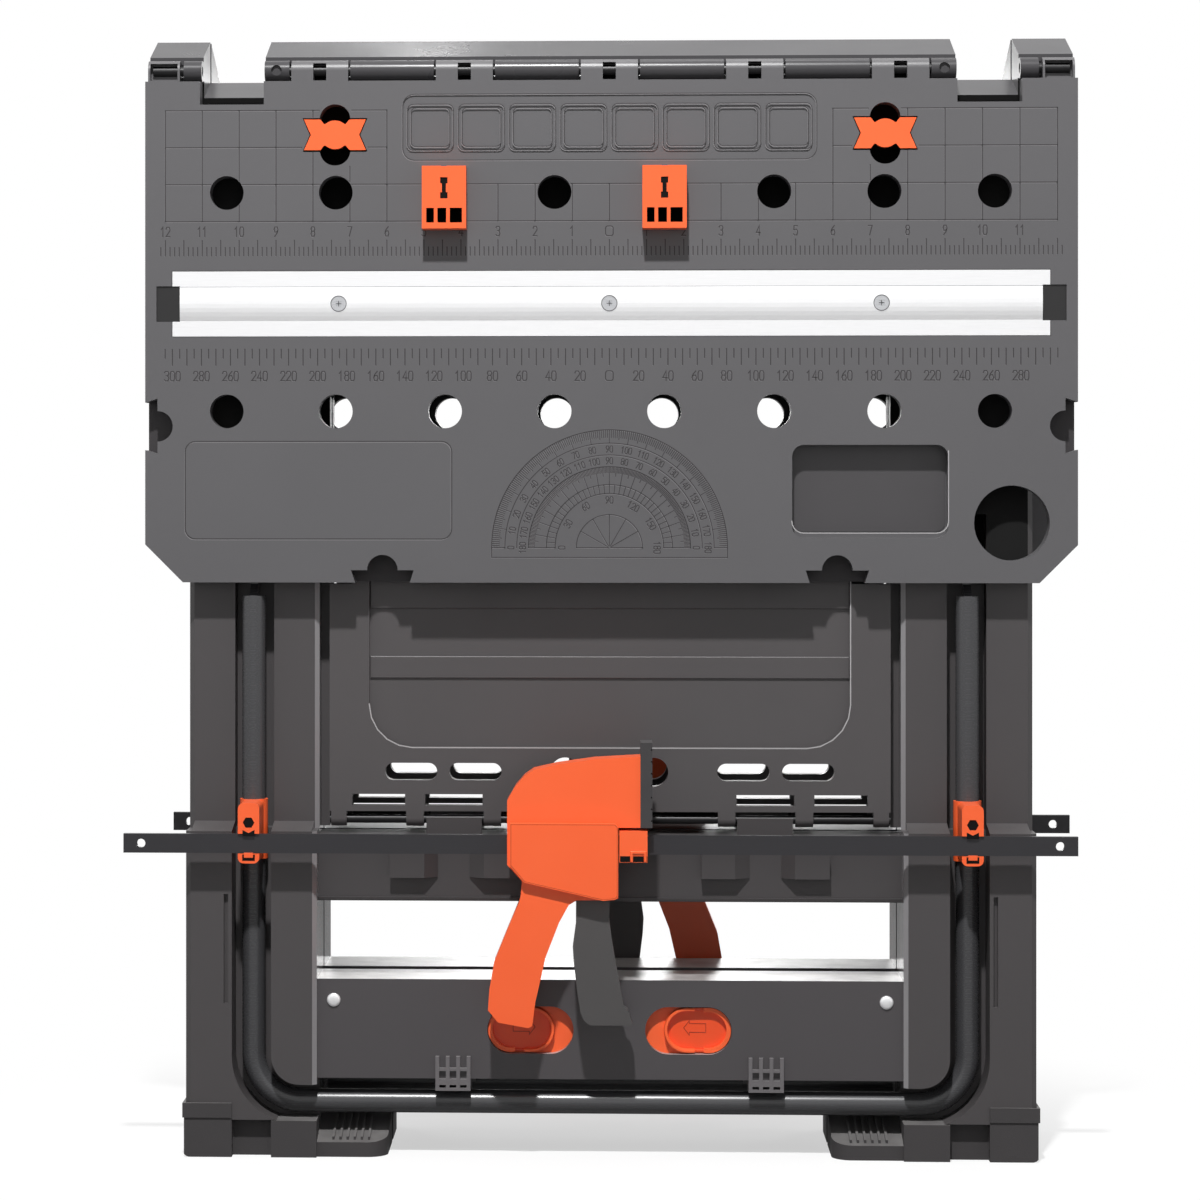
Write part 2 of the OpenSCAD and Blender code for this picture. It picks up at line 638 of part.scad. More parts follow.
module panel() color("#5a5757") difference() {
    union() {
        outward([panel_back, panel_front]) panel_outline();
        for (k = [-2:2]) tab(k * tab_pitch, tab_w);
        both_sides() tab((end_tab[0] + end_tab[1]) / 2, end_tab[1] - end_tab[0]);
    }
    bar_x([-rod_half - over, rod_half + over], hinge_d, hinge_z, hinge_pin_r + run_fit);
    both_sides() {
        bar_x([end_pin[0] - wall, end_pin[1]], hinge_d, hinge_z, hinge_pin_r + run_fit);
        block(notch_x, [0, panel_front + over], [panel_top - notch_h, hinge_z + wall]);
        translate([panel_w / 2, 0, edge_notch_z]) outward([0, panel_front + over])
            rotate(90) notch(edge_notch_w);
        translate([low_notch_x, 0, panel_low]) outward([0, panel_front + over]) notch(low_notch_w);
        for (h = hole_share, z = row_z) bar_d(h * dog_pitch, [0, panel_front + over], z, dog_hole_r);
        for (h = hole_share)
            translate([h * socket_pitch, 0, socket_z])
                outward([panel_front - socket_depth, panel_front + over])
                    rounded(socket_w, socket_w, socket_r);
        translate([dog_x, 0, dog_z]) {
            outward([0, panel_front + over]) rounded(stadium_w, stadium_h, stadium_w / 2 - 0.2);
            outward([panel_front - bow_t, panel_front + over]) bow(recess_gap);
        }
        block([cap_x[0] - clear, cap_x[1]], [panel_front - cap_seat, panel_front + over],
            [rail_z - band_cap_h / 2, rail_z + band_cap_h / 2]);
    }
    translate([0, 0, socket_z]) outward([panel_front - frame_depth, panel_front + over])
        rounded(frame_w, frame_h, 2 * socket_r);
    block([-rail_w / 2 - clear, rail_w / 2 + clear], [panel_front - rail_seat, panel_front + over],
        [rail_z - rail_h / 2 - clear, rail_z + rail_h / 2 + clear]);
    translate([(tray_x[0] + tray_x[1]) / 2, 0, (tray_z[0] + tray_z[1]) / 2])
        outward([panel_front - tray_depth, panel_front + over])
            rounded(tray_x[1] - tray_x[0], tray_z[1] - tray_z[0], tray_r);
    bar_d(cup_x, [0, panel_front + over], cup_z, cup_r);
    difference() {
        union() for (c = pocket_cols, r = [0, 1]) pocket(c, pocket_rows[r]);
        for (s = [-1, 1], h = hole_share, z = row_z)
            bar_d(s * h * dog_pitch, [0, panel_front], z, boss_r);
    }
    difference() {
        for (c = [[-4, -3], [-3, -2], [-2, -1], [-1, 1]]) pocket(c, pocket_rows[2]);
        both_sides() block([saddle_x - saddle_w, saddle_x + saddle_w], [0, panel_front], pocket_rows[2]);
        block([-panel_w / 2, -panel_w / 2 + 2 * corner_cut], [0, panel_front],
            [panel_low, panel_low + 2 * corner_cut]);
    }
}

module tab(x, w) difference() {
    union() {
        bar_x([x - w / 2, x + w / 2], hinge_d, hinge_z, barrel_r);
        block([x - w / 2, x + w / 2], [lip_d + clear, hinge_d + barrel_r], [panel_top - over, hinge_z]);
    }
    o = w < tab_w ? w - 3 * over : window_tab[0];
    block([x - o / 2, x + o / 2], [w < tab_w ? hinge_d : lip_d, panel_front],
        [panel_top + clear, panel_top + clear + window_tab[1]]);
}

// Rail: flat aluminium flange with a crowned band, three countersunk screws, black end caps
flange_t = 3;
band_t = 0.3;
crown = 1;
screw_r = 5;
screw_shank = 2;
screw_x = [-2.4733, 0, 2.4733] * dog_pitch;
screw_head = 2;
rail_floor = panel_front - rail_seat;
band_top = rail_floor + flange_t + band_t;

module rail() color("#d9dadd") difference() {
    union() {
        block([-rail_w / 2, rail_w / 2], [rail_floor, rail_floor + flange_t],
            [rail_z - rail_h / 2, rail_z + rail_h / 2]);
        along([-rail_w / 2, rail_w / 2]) polygon(concat(
            [[-rail_floor, rail_z + band_h / 2], [-rail_floor, rail_z - band_h / 2]],
            [for (k = [0:8]) [-band_top - crown * (1 - pow(k / 4 - 1, 2)),
                rail_z - band_h / 2 + k * band_h / 8]]));
    }
    for (x = screw_x) {
        bar_d(x, [band_top - screw_head, band_top + 2 * wall], rail_z, screw_r + run_fit);
        bar_d(x, [rail_floor - over, band_top], rail_z, screw_shank + run_fit);
    }
    both_sides() block([cap_x[0] - clear / 4, rail_w / 2 + over],
        [rail_floor - over, band_top + 2 * wall], [rail_z - band_cap_h / 2, rail_z + band_cap_h / 2]);
}

module rail_screws() color("silver") for (x = screw_x) difference() {
    union() {
        bar_d(x, [band_top - screw_head, band_top + crown / 2], rail_z, screw_r);
        bar_d(x, [rail_floor + clear, band_top], rail_z, screw_shank);
    }
    for (a = [45, 135]) translate([x, -band_top - crown, rail_z]) rotate([0, a, 0])
        cube([screw_r, 2 * crown + over, over], center = true);
}

module rail_caps() color("#1b1a1a") both_sides()
    block([cap_x[0] + clear / 4, cap_x[1] - clear / 4], [panel_front - cap_seat, panel_front - over],
        [rail_z - band_cap_h / 2 + clear / 4, rail_z + band_cap_h / 2 - clear / 4]);

// Saddles on the panel's back that take the tube's bottom run when the bench is open
saddle_x = 75;
saddle_w = 20;
saddle_h = 14;
saddle_t = 13;
saddle_plate = 5.5;
saddle_foot = 3;
lift = 70;
tube_reach = norm([tube_d - pivot_d, tube_z - pivot_z]);
arm = [pivot_d - hinge_d, pivot_z - hinge_z];
arm_open = [hinge_d + arm[0] * cos(lift) + arm[1] * sin(lift),
    hinge_z - arm[0] * sin(lift) + arm[1] * cos(lift)];
seat_in = 14.04;
seat_d = panel_back - seat_in;
seat_z = max(panel_low + 2 * saddle_h,
    arm_open[1] - sqrt(max(0, pow(tube_reach, 2) - pow(seat_d - arm_open[0], 2))));

module saddles() color("#5a5757") both_sides() difference() {
    union() {
        block([saddle_x - saddle_w / 2, saddle_x + saddle_w / 2], [panel_back - saddle_plate, panel_back],
            [seat_z - saddle_foot, seat_z + saddle_h]);
        block([saddle_x - saddle_w / 2, saddle_x + saddle_w / 2], [panel_back - saddle_t, panel_back],
            [seat_z, seat_z + saddle_h]);
    }
    bar_x([saddle_x - saddle_w, saddle_x + saddle_w], seat_d, seat_z, tube_r + clear);
}

// Support tube: bent steel tube with flattened, pierced ends
eye_r = 8;
eye_t = 5;
tube_top = pivot_z - 19;

module tube() color("#141414") {
    bar_x([bend_r - tube_x, tube_x - bend_r], tube_d, tube_z, tube_r);
    both_sides() {
        translate([tube_x, -tube_d, tube_z + bend_r])
            cylinder(r = tube_r, h = tube_top - tube_z - bend_r);
        translate([tube_x - bend_r, -tube_d, tube_z + bend_r]) rotate([90, 0, 0])
            rotate([0, 0, -90]) rotate_extrude(angle = 90) translate([bend_r, 0]) circle(tube_r);
        difference() {
            along([tube_x - eye_t / 2, tube_x + eye_t / 2]) {
                translate([-pivot_d, pivot_z]) circle(eye_r);
                polygon([[-pivot_d + eye_r, pivot_z], [-pivot_d - eye_r, pivot_z],
                    [-pivot_d - eye_r, panel_low - 1.5 * over], [over - tube_d - tube_r, tube_top],
                    [over - tube_d - tube_r, tube_top - 2 * tube_r],
                    [tube_r - tube_d - over, tube_top - 2 * tube_r], [-pivot_d + eye_r, pivot_z - eye_r]]);
            }
            bar_x([tube_x - eye_t, tube_x + eye_t], pivot_d, pivot_z, pivot_r + run_fit);
        }
    }
}

// Orange clips that hold the clamp bar on the tube
bar_d0 = 78;
bar_gap = 0.3;
bar_x0 = -330.6;
grip_w = 14.6;
grip_x = [tube_x - grip_w / 2, tube_x + grip_w / 2];
grip_z = [203, 244];
grip_round = 4;
grip_d = bar_d0 + bar_t + 1.5;
hex_r = 4;
hex_z = 230.7;
ring_wall = 1.6;

module bar_clips() color("#ff6b35") both_sides() difference() {
    union() {
        translate([tube_x, 0, (grip_z[0] + grip_z[1]) / 2]) outward([tube_d, grip_d])
            rounded(grip_w, grip_z[1] - grip_z[0], grip_round);
        translate([tube_x, -tube_d, grip_z[0]])
            cylinder(r = tube_r + ring_wall, h = grip_z[1] - grip_z[0]);
    }
    translate([tube_x, -tube_d, grip_z[0] - over])
        cylinder(r = tube_r + run_fit, h = grip_z[1] - grip_z[0] + 2 * over);
    block([tube_x - tube_r / 2, tube_x + tube_r / 2], [tube_d - 2 * tube_r, tube_d],
        [grip_z[0] - over, grip_z[1] + over]);
    block([grip_x[0] - over, grip_x[1] + over], [bar_d0 - bar_gap, grip_d + over],
        [bar_z - bar_h / 2 - bar_gap, bar_z + bar_h / 2 + bar_gap]);
    translate([tube_x, -grip_d + wall, hex_z]) rotate([90, 0, 0])
        cylinder(r = hex_r, h = wall + over, $fn = 6);
}

// Clamp bar with a hole near each end
bar_hole_r = 3;
bar_hole_in = 12;

module clamp_bar() color("#3a3838") difference() {
    block([bar_x0, bar_x0 + bar_len], [bar_d0, bar_d0 + bar_t], [bar_z - bar_h / 2, bar_z + bar_h / 2]);
    for (x = [bar_x0 + bar_hole_in, bar_x0 + bar_len - bar_hole_in])
        bar_d(x, [bar_d0 - over, bar_d0 + bar_t + over], bar_z, bar_hole_r);
}

// Clamp body: moulded housing and handle, worked out as shares of its own width and height
head_d0 = 68;
head_w = 90;
head_rise = 60.5;
handle_fall = 123;
head_x = -69;
head_nose = 6.1;
ear_t = 3.6;
ear_top = 0.25;
release_pin = [head_nose + 4.9, bar_z + 7.6];
release_pin_r = 1.5;
head_share = [[0, 0.505], [0.06, 0.66], [0.13, 0.78], [0.197, 0.848], [0.378, 0.91], [0.656, 0.97], [1, 1],
    [1, 0.207], [0.833, 0.207], [0.833, -0.583], [0.8, -0.6], [0.52, -0.605]];
handle_share = [[0.462, -0.324], [0.39, -0.42], [0.29, -0.608], [0.211, -0.86], [0.189, -0.987], [0.16, -1],
    [-0.07, -0.97], [-0.144, -0.903], [-0.133, -0.787], [-0.098, -0.64], [-0.011, -0.483], [0.096, -0.296],
    [0.103, -0.263], [0.111, -0.193], [0, -0.104]];

module head_outline() polygon(concat(
    [for (p = head_share) [head_x + p[0] * head_w, bar_z + p[1] * head_rise]],
    [for (p = handle_share) [head_x + p[0] * head_w, bar_z + p[1] * handle_fall]]));

module clamp_body() color("#ff6b35") difference() {
    union() {
        outward([head_d0, head_d0 + head_t]) head_outline();
        block([head_nose - over, release_pin[0] + wall], [head_d0, head_d0 + ear_t],
            [release_pin[1] - wall, bar_z + ear_top * head_rise]);
        bar_d(release_pin[0], [head_d0, bar_d0 - over], release_pin[1], release_pin_r);
    }
    block([head_x - over, head_x + head_w + over], [bar_d0 - bar_gap, bar_d0 + bar_t + bar_gap],
        [bar_z - bar_h / 2 - bar_gap, bar_z + bar_h / 2 + bar_gap]);
    trigger_room();
}

// Raised cover screwed on the body's face
cover_t = 5;
cover_share = [[0.022, 0.258], [0.81, 0.258], [0.833, 0.22], [0.833, -0.55], [0.815, -0.585], [0.72, -0.6],
    [0.13, -0.4], [0.022, -0.215]];

module clamp_cover() color("#ff6b35") outward([head_d0 + head_t, head_d0 + head_t + cover_t])
    polygon([for (p = cover_share) [head_x + p[0] * head_w, bar_z + p[1] * head_rise]]);

// Soft pad on the clamp's jaw
pad_x = 21;
pad_w = 8;
pad_z = [229, 286.4];
pad_lap = 2;
pad_groove = 1.2;

module clamp_pad() color("#2c2a2a") difference() {
    block([pad_x, pad_x + pad_w], [head_d0 - pad_lap, head_d0 + head_t + pad_lap], pad_z);
    for (z = [pad_z[0] + wall:2 * wall:pad_z[1] - wall])
        block([pad_x + pad_w - over, pad_x + pad_w + over], [head_d0 - wall, head_d0 + head_t + wall],
            [z, z + pad_groove]);
}

// Trigger: hangs on its pin inside the body, wavy finger side
trigger_t = 14;
trigger_pin = [-8, 190];
trigger_pin_r = 3;
trigger_d = [head_d0 + (head_t - trigger_t) / 2, head_d0 + (head_t + trigger_t) / 2];
trigger_x = -24.7;
trigger_w = 40.3;
trigger_low = 94.7;
trigger_h = 101.3;
trigger_room_z = [174, 203];
trigger_share = [[0.057, 1], [0.052, 0.68], [0, 0.526], [0.015, 0.424], [0.077, 0.22], [0.127, 0.086],
    [0.19, 0.03], [0.293, 0], [0.95, 0], [1, 0.012], [0.928, 0.099], [0.864, 0.117], [0.752, 0.336],
    [0.697, 0.463], [0.655, 0.566], [0.608, 0.712], [0.623, 0.82], [0.623, 1]];

module trigger_outline() polygon([for (p = trigger_share)
    [trigger_x + p[0] * trigger_w, trigger_low + p[1] * trigger_h]]);

module clamp_trigger() color("#3b3838") difference() {
    outward(trigger_d) trigger_outline();
    bar_d(trigger_pin[0], [trigger_d[0] - over, trigger_d[1] + over], trigger_pin[1],
        trigger_pin_r + run_fit);
}

// Room inside the body for the trigger's top over its whole swing
module trigger_room() difference() {
    block([trigger_x - 4 * wall, head_nose - wall / 2], [trigger_d[0] - clear, trigger_d[1] + clear],
        trigger_room_z);
    bar_d(trigger_pin[0], [head_d0, head_d0 + head_t], trigger_pin[1], trigger_pin_r);
}

// Release lever: a collar round the bar that tilts on a stub pin in the body's ear
release_x = [head_nose + 0.7, 25.7];
release_z = [bar_z - 10.5, bar_z + 10.6];
release_d = [head_d0 + ear_t + clear, head_d0 + head_t + wall];
release_slack = 1.8;

module clamp_release() color("#ff6b35") difference() {
    block(release_x, release_d, release_z);
    block([release_x[0] - over, release_x[1] + over], [bar_d0 - 2 * bar_gap, bar_d0 + bar_t + 2 * bar_gap],
        [bar_z - bar_h / 2 - release_slack, bar_z + bar_h / 2 + release_slack]);
    bar_d(release_pin[0], [head_d0, bar_d0], release_pin[1], release_pin_r + run_fit);
}

// Bow-tie bench dog parked in its recess, with a stem in the long hole
stem_r = 9;
stem_len = 13;

module dog(s) color("#ff6b35") translate([s * dog_x, 0, dog_z]) {
    outward([panel_front - bow_t + clear / 4, panel_front + over]) bow(0);
    bar_d(0, [panel_front - stem_len, panel_front], 0, stem_r);
}

// Jaw plugged in a dog hole: block with an I slot, three windows and a notch
jaw_w = 30;
jaw_h = 42.6;
jaw_t = 17;
jaw_low = row_z[0] - 25.9;
jaw_peg = 14.5;
jaw_eyes = [[-12, -6.8], [-4.4, 1.6], [4, 12.3]];
jaw_eye_h = 10;
jaw_slot = [5, 14.4];
jaw_neck = [2, 6];
jaw_slot_z = 20.4;
jaw_nick = [3, 8];
jaw_back = 2;

module jaw(x) color("#ff6b35") difference() {
    union() {
        block([x - jaw_w / 2, x + jaw_w / 2], [panel_front, panel_front + jaw_t], [jaw_low, jaw_low + jaw_h]);
        bar_d(x, [panel_front - jaw_peg, panel_front + over], row_z[0], dog_hole_r - run_fit);
    }
    for (e = jaw_eyes)
        block([x + e[0], x + e[1]], [panel_front + jaw_back, panel_front + jaw_t + over],
            [jaw_low + wall, jaw_low + wall + jaw_eye_h]);
    difference() {
        block([x - jaw_slot[0] / 2, x + jaw_slot[0] / 2],
            [panel_front + jaw_back, panel_front + jaw_t + over],
            [jaw_low + jaw_slot_z, jaw_low + jaw_slot_z + jaw_slot[1]]);
        both_sides_of(x) block([x + jaw_neck[0] / 2 + clear, x + jaw_slot[0]],
            [panel_front, panel_front + jaw_t + 2 * over],
            [jaw_low + jaw_slot_z + (jaw_slot[1] - jaw_neck[1]) / 2,
                jaw_low + jaw_slot_z + (jaw_slot[1] + jaw_neck[1]) / 2]);
    }
    translate([x, -panel_front - jaw_t, jaw_low + jaw_h]) rotate([0, 45, 0])
        cube([jaw_nick[0], jaw_nick[1], jaw_nick[0]], center = true);
}

mirror([1, 0, 0]) right_leg();  // front_left_leg
right_leg();  // front_right_leg
top_beam();  // front_top_beam
crossbeam();  // front_crossbeam
stretcher();  // front_stretcher
feet();  // front_feet
tube_clips();  // front_tube_clips
panel_pin();  // front_panel_pin
pivot_pins();  // front_pivot_pins
shelf();  // front_shelf
shelf_rod();  // front_shelf_rod
panel();  // front_panel
rail();  // front_rail
rail_caps();  // front_rail_caps
rail_screws();  // front_rail_screws
saddles();  // front_saddles
tube();  // front_tube
bar_clips();  // front_bar_clips
clamp_bar();  // front_clamp_bar
clamp_body();  // front_clamp_body
clamp_cover();  // front_clamp_cover
clamp_pad();  // front_clamp_pad
clamp_trigger();  // front_clamp_trigger
clamp_release();  // front_clamp_release
mirror([1, 0, 0]) latch_right();  // front_latch_left
latch_right();  // front_latch_right
dog(-1);  // front_dog_left
dog(1);  // front_dog_right
turned() mirror([1, 0, 0]) right_leg();  // rear_left_leg
turned() right_leg();  // rear_right_leg
turned() top_beam();  // rear_top_beam
turned() crossbeam();  // rear_crossbeam
turned() stretcher();  // rear_stretcher
turned() feet();  // rear_feet
turned() tube_clips();  // rear_tube_clips
turned() panel_pin();  // rear_panel_pin
turned() pivot_pins();  // rear_pivot_pins
turned() shelf();  // rear_shelf
turned() shelf_rod();  // rear_shelf_rod
turned() panel();  // rear_panel
turned() rail();  // rear_rail
turned() rail_caps();  // rear_rail_caps
turned() rail_screws();  // rear_rail_screws
turned() saddles();  // rear_saddles
turned() tube();  // rear_tube
turned() bar_clips();  // rear_bar_clips
turned() clamp_bar();  // rear_clamp_bar
turned() clamp_body();  // rear_clamp_body
turned() clamp_cover();  // rear_clamp_cover
turned() clamp_pad();  // rear_clamp_pad
turned() clamp_trigger();  // rear_clamp_trigger
turned() clamp_release();  // rear_clamp_release
turned() mirror([1, 0, 0]) latch_right();  // rear_latch_left
turned() latch_right();  // rear_latch_right
turned() dog(-1);  // rear_dog_left
turned() dog(1);  // rear_dog_right
ridge_pin();
jaw(-1.5 * dog_pitch);  // jaw_left
jaw(0.5 * dog_pitch);  // jaw_right
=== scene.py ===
import math
import bpy, bmesh
from mathutils import Matrix, Vector


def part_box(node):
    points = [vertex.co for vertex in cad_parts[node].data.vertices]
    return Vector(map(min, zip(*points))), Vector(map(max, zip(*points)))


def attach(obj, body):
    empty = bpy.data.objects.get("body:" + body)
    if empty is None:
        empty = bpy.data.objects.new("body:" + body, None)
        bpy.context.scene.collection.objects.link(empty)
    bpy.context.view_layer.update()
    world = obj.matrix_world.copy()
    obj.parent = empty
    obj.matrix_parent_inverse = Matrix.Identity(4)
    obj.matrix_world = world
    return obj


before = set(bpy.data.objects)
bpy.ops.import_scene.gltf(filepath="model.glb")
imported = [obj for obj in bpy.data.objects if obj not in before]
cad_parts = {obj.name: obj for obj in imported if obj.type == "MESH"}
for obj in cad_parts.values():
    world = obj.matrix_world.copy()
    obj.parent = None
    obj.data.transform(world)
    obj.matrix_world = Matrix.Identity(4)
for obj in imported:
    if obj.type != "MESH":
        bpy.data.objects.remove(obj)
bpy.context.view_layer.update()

# Viewpoint. The bench was photographed from the front with a long lens, held
# a little above its middle and turned two degrees to the left; the shift frames
# it as in the photograph.
eye = bpy.data.objects.new("viewpoint", bpy.data.cameras.new("viewpoint"))
bpy.context.scene.collection.objects.link(eye)
eye.location = (0.0, -2.509, 0.4595)
eye.rotation_euler = (math.radians(90), 0, math.radians(2.161))
eye.data.sensor_width = 36
eye.data.lens = 107.4
eye.data.shift_x = 0.1048
eye.data.shift_y = -0.095
eye.data.clip_end = 60
bpy.context.scene.camera = eye

# Room. A plain studio with white walls: the camera and the bench's own gloss see
# them as white, but they give the bench only a weak fill. One high front light
# makes the shadows, and soft lamps fill in from the sides, behind and above.
bpy.context.scene.view_settings.view_transform = "Standard"
WALL_WHITE, WALL_FILL = (1, 1, 1, 1), 0.15


def math_node(tree, kind, a, b=None):
    """Works out two numbers or outputs, or only the first, and gives the result's output."""
    n = tree.nodes.new("ShaderNodeMath")
    n.operation = kind
    for i, v in enumerate((a, b)):
        if isinstance(v, (int, float)):
            n.inputs[i].default_value = v
        elif v is not None:
            tree.links.new(v, n.inputs[i])
    return n.outputs[0]


def mix_shaders(tree, share, first, second):
    """Goes from one shader node to another as share goes from 0 to 1."""
    n = tree.nodes.new("ShaderNodeMixShader")
    tree.links.new(share, n.inputs["Fac"])
    tree.links.new(first.outputs[0], n.inputs[1])
    tree.links.new(second.outputs[0], n.inputs[2])
    return n.outputs[0]


studio = bpy.data.worlds.new("studio")
bpy.context.scene.world = studio
studio.use_nodes = True
air = studio.node_tree
air.nodes.clear()
seen = air.nodes.new("ShaderNodeBackground")
seen.inputs["Color"].default_value = WALL_WHITE
fill = air.nodes.new("ShaderNodeBackground")
fill.inputs["Color"].default_value = WALL_WHITE
fill.inputs["Strength"].default_value = WALL_FILL
air_rays = air.nodes.new("ShaderNodeLightPath").outputs
mirrored = math_node(air, "MAXIMUM", air_rays["Is Camera Ray"], air_rays["Is Glossy Ray"])
looked_at = math_node(air, "MAXIMUM", mirrored, air_rays["Is Transmission Ray"])
air.links.new(mix_shaders(air, looked_at, fill, seen),
              air.nodes.new("ShaderNodeOutputWorld").inputs["Surface"])

LAMPS = (("high_front_light", (-0.12, -1.62, 2.62), (0, 0, 0.45), 0.12, 97),
         ("left_fill", (-2.6, -1.6, 1.2), (0, 0, 0.4), 1.2, 5),
         ("right_fill", (2.6, -1.6, 1.2), (0, 0, 0.4), 1.2, 5),
         ("left_back_fill", (-2.3, 1.7, 1.0), (0, 0, 0.4), 1.0, 15),
         ("right_back_fill", (2.3, 1.7, 1.0), (0, 0, 0.4), 1.0, 15),
         ("low_back_light", (0, 2.6, 0.75), (0, 0, 0.3), 0.6, 7),
         ("top_light", (0.1, 0.3, 2.2), (0, 0, 0.7), 0.5, 3),
         ("beam_glint", (-0.25, 1.7, 1.95), (-0.1, 0, 0.77), 0.12, 0.4))
for name, place, aim, size, watts in LAMPS:
    lamp = bpy.data.lights.new(name, "AREA")
    lamp.shape = "DISK"
    lamp.size = size
    lamp.energy = watts
    stand = bpy.data.objects.new(name, lamp)
    bpy.context.scene.collection.objects.link(stand)
    stand.location = place
    stand.rotation_euler = (Vector(aim) - Vector(place)).to_track_quat("-Z", "Y").to_euler()

# Floor. A pale painted board that keeps the bench's shadow. For the camera it
# goes to plain white a little way out, and it throws less light up than it shows.
FLOOR_REACH, FLOOR_DROP = 6.0, 0.0002
FLOOR_THROWN, FLOOR_SEEN = (0.30, 0.30, 0.30, 1), (0.93, 0.93, 0.93, 1)
FADE_FROM, FADE_TO, LEAST_WHITE = 0.10, 0.55, 0.55


def mix_colours(tree, share, a, b):
    """Goes from colour a to b as share goes from 0 to 1; each is a tuple or an output."""
    n = tree.nodes.new("ShaderNodeMix")
    n.data_type = "RGBA"
    for socket, colour in (("A", a), ("B", b)):
        if isinstance(colour, tuple):
            n.inputs[socket].default_value = colour
        else:
            tree.links.new(colour, n.inputs[socket])
    tree.links.new(share, n.inputs["Factor"])
    return n.outputs["Result"]


def object_place(tree):
    """The place of a point in metres, in the bench's own frame."""
    return tree.nodes.new("ShaderNodeTexCoord").outputs["Object"]


ground = bmesh.new()
bmesh.ops.create_grid(ground, x_segments=24, y_segments=24, size=FLOOR_REACH)
ground_mesh = bpy.data.meshes.new("studio_floor")
ground.to_mesh(ground_mesh)
ground.free()
studio_floor = bpy.data.objects.new("studio_floor", ground_mesh)
bpy.context.scene.collection.objects.link(studio_floor)
studio_floor.location = (0, 0, -FLOOR_DROP)
floor_paint = bpy.data.materials.new("pale_floor")
floor_paint.use_nodes = True
board = floor_paint.node_tree
board.nodes.clear()
by_camera = board.nodes.new("ShaderNodeLightPath").outputs["Is Camera Ray"]
matt = board.nodes.new("ShaderNodeBsdfDiffuse")
board.links.new(mix_colours(board, by_camera, FLOOR_THROWN, FLOOR_SEEN), matt.inputs["Color"])
distance = board.nodes.new("ShaderNodeVectorMath")
distance.operation = "LENGTH"
board.links.new(object_place(board), distance.inputs[0])
fade = board.nodes.new("ShaderNodeMapRange")
fade.interpolation_type = "SMOOTHSTEP"
fade.inputs["From Min"].default_value = FADE_FROM
fade.inputs["From Max"].default_value = FADE_TO
fade.inputs["To Min"].default_value = LEAST_WHITE
board.links.new(distance.outputs["Value"], fade.inputs["Value"])
whiteness = math_node(board, "MULTIPLY", fade.outputs["Result"], by_camera)
board.links.new(mix_shaders(board, whiteness, matt, board.nodes.new("ShaderNodeEmission")),
                board.nodes.new("ShaderNodeOutputMaterial").inputs["Surface"])
studio_floor.data.materials.append(floor_paint)

# Legs. Four mouldings in glass-filled nylon, dark warm grey with a fine
# spark-eroded grain, with a channel in the face for the support tube.
HALVES = ("front", "rear")
MM = 1000.0


def paint(code):
    """A colour written as in a paint list, ready for a shader."""
    part = [int(code[i:i + 2], 16) / 255 for i in (1, 3, 5)]
    return tuple(c / 12.92 if c <= 0.04045 else ((c + 0.055) / 1.055) ** 2.4 for c in part) + (1,)


def new_group(name, ins, outs):
    """An empty node group of plain numbers: the group, its inside inputs and its outputs."""
    g = bpy.data.node_groups.new(name, "ShaderNodeTree")
    for label, value in ins.items():
        s = g.interface.new_socket(name=label, in_out="INPUT", socket_type="NodeSocketFloat")
        s.default_value = value
    for label in outs:
        g.interface.new_socket(name=label, in_out="OUTPUT", socket_type="NodeSocketFloat")
    return g, g.nodes.new("NodeGroupInput").outputs, g.nodes.new("NodeGroupOutput").inputs


def use_group(tree, group, values):
    """Places a node group in a material, with its own values."""
    n = tree.nodes.new("ShaderNodeGroup")
    n.node_tree = group
    for label, value in values.items():
        n.inputs[label].default_value = value
    return n.outputs


def noise_spots(tree, place, size, detail):
    """Noise whose spots are about size mm across."""
    n = tree.nodes.new("ShaderNodeTexNoise")
    n.inputs["Detail"].default_value = detail
    tree.links.new(place, n.inputs["Vector"])
    tree.links.new(math_node(tree, "DIVIDE", MM, size), n.inputs["Scale"])
    return n


def axes_of(tree, vector):
    """The X, Y and Z of a vector as outputs of their own."""
    n = tree.nodes.new("ShaderNodeSeparateXYZ")
    tree.links.new(vector, n.inputs[0])
    return n.outputs


def face_axes(tree):
    """The X, Y and Z of the way that a face looks."""
    return axes_of(tree, tree.nodes.new("ShaderNodeNewGeometry").outputs["Normal"])


# Spark grain of the mould: small pits over a slow waviness, and a mottle that
# varies colour and gloss a little from place to place.
grain, g_in, g_out = new_group("spark_grain", {"Pit size mm": 0.5, "Mottle size mm": 60.0},
                               ("Height", "Mottle"))
g_place = object_place(grain)
pits = noise_spots(grain, g_place, g_in["Pit size mm"], 3)
pits.inputs["Roughness"].default_value = 0.6
slow = noise_spots(grain, g_place, g_in["Mottle size mm"], 2)
grain.links.new(pits.outputs["Fac"], g_out["Height"])
grain.links.new(slow.outputs["Fac"], g_out["Mottle"])

# Dust and painted sheen: a pale haze on faces that look up, thicker in slow
# patches, and not at all on a face steeper than its least upward look. Where strong,
# it paints the light that upward faces catch.
DUST_AND_SHEEN_LEAST_UP = 0.55
dust_and_sheen_group, d_in, d_out = new_group("dust_and_top_sheen", {"Patch size mm": 25.0}, ("Mask",))
d_up = dust_and_sheen_group.nodes.new("ShaderNodeMapRange")
d_up.inputs["From Min"].default_value = DUST_AND_SHEEN_LEAST_UP
dust_and_sheen_group.links.new(face_axes(dust_and_sheen_group)["Z"], d_up.inputs["Value"])
d_patch = noise_spots(dust_and_sheen_group, object_place(dust_and_sheen_group), d_in["Patch size mm"], 4)
dust_and_sheen_group.links.new(math_node(dust_and_sheen_group, "MULTIPLY", d_up.outputs["Result"], d_patch.outputs["Fac"]),
               d_out["Mask"])
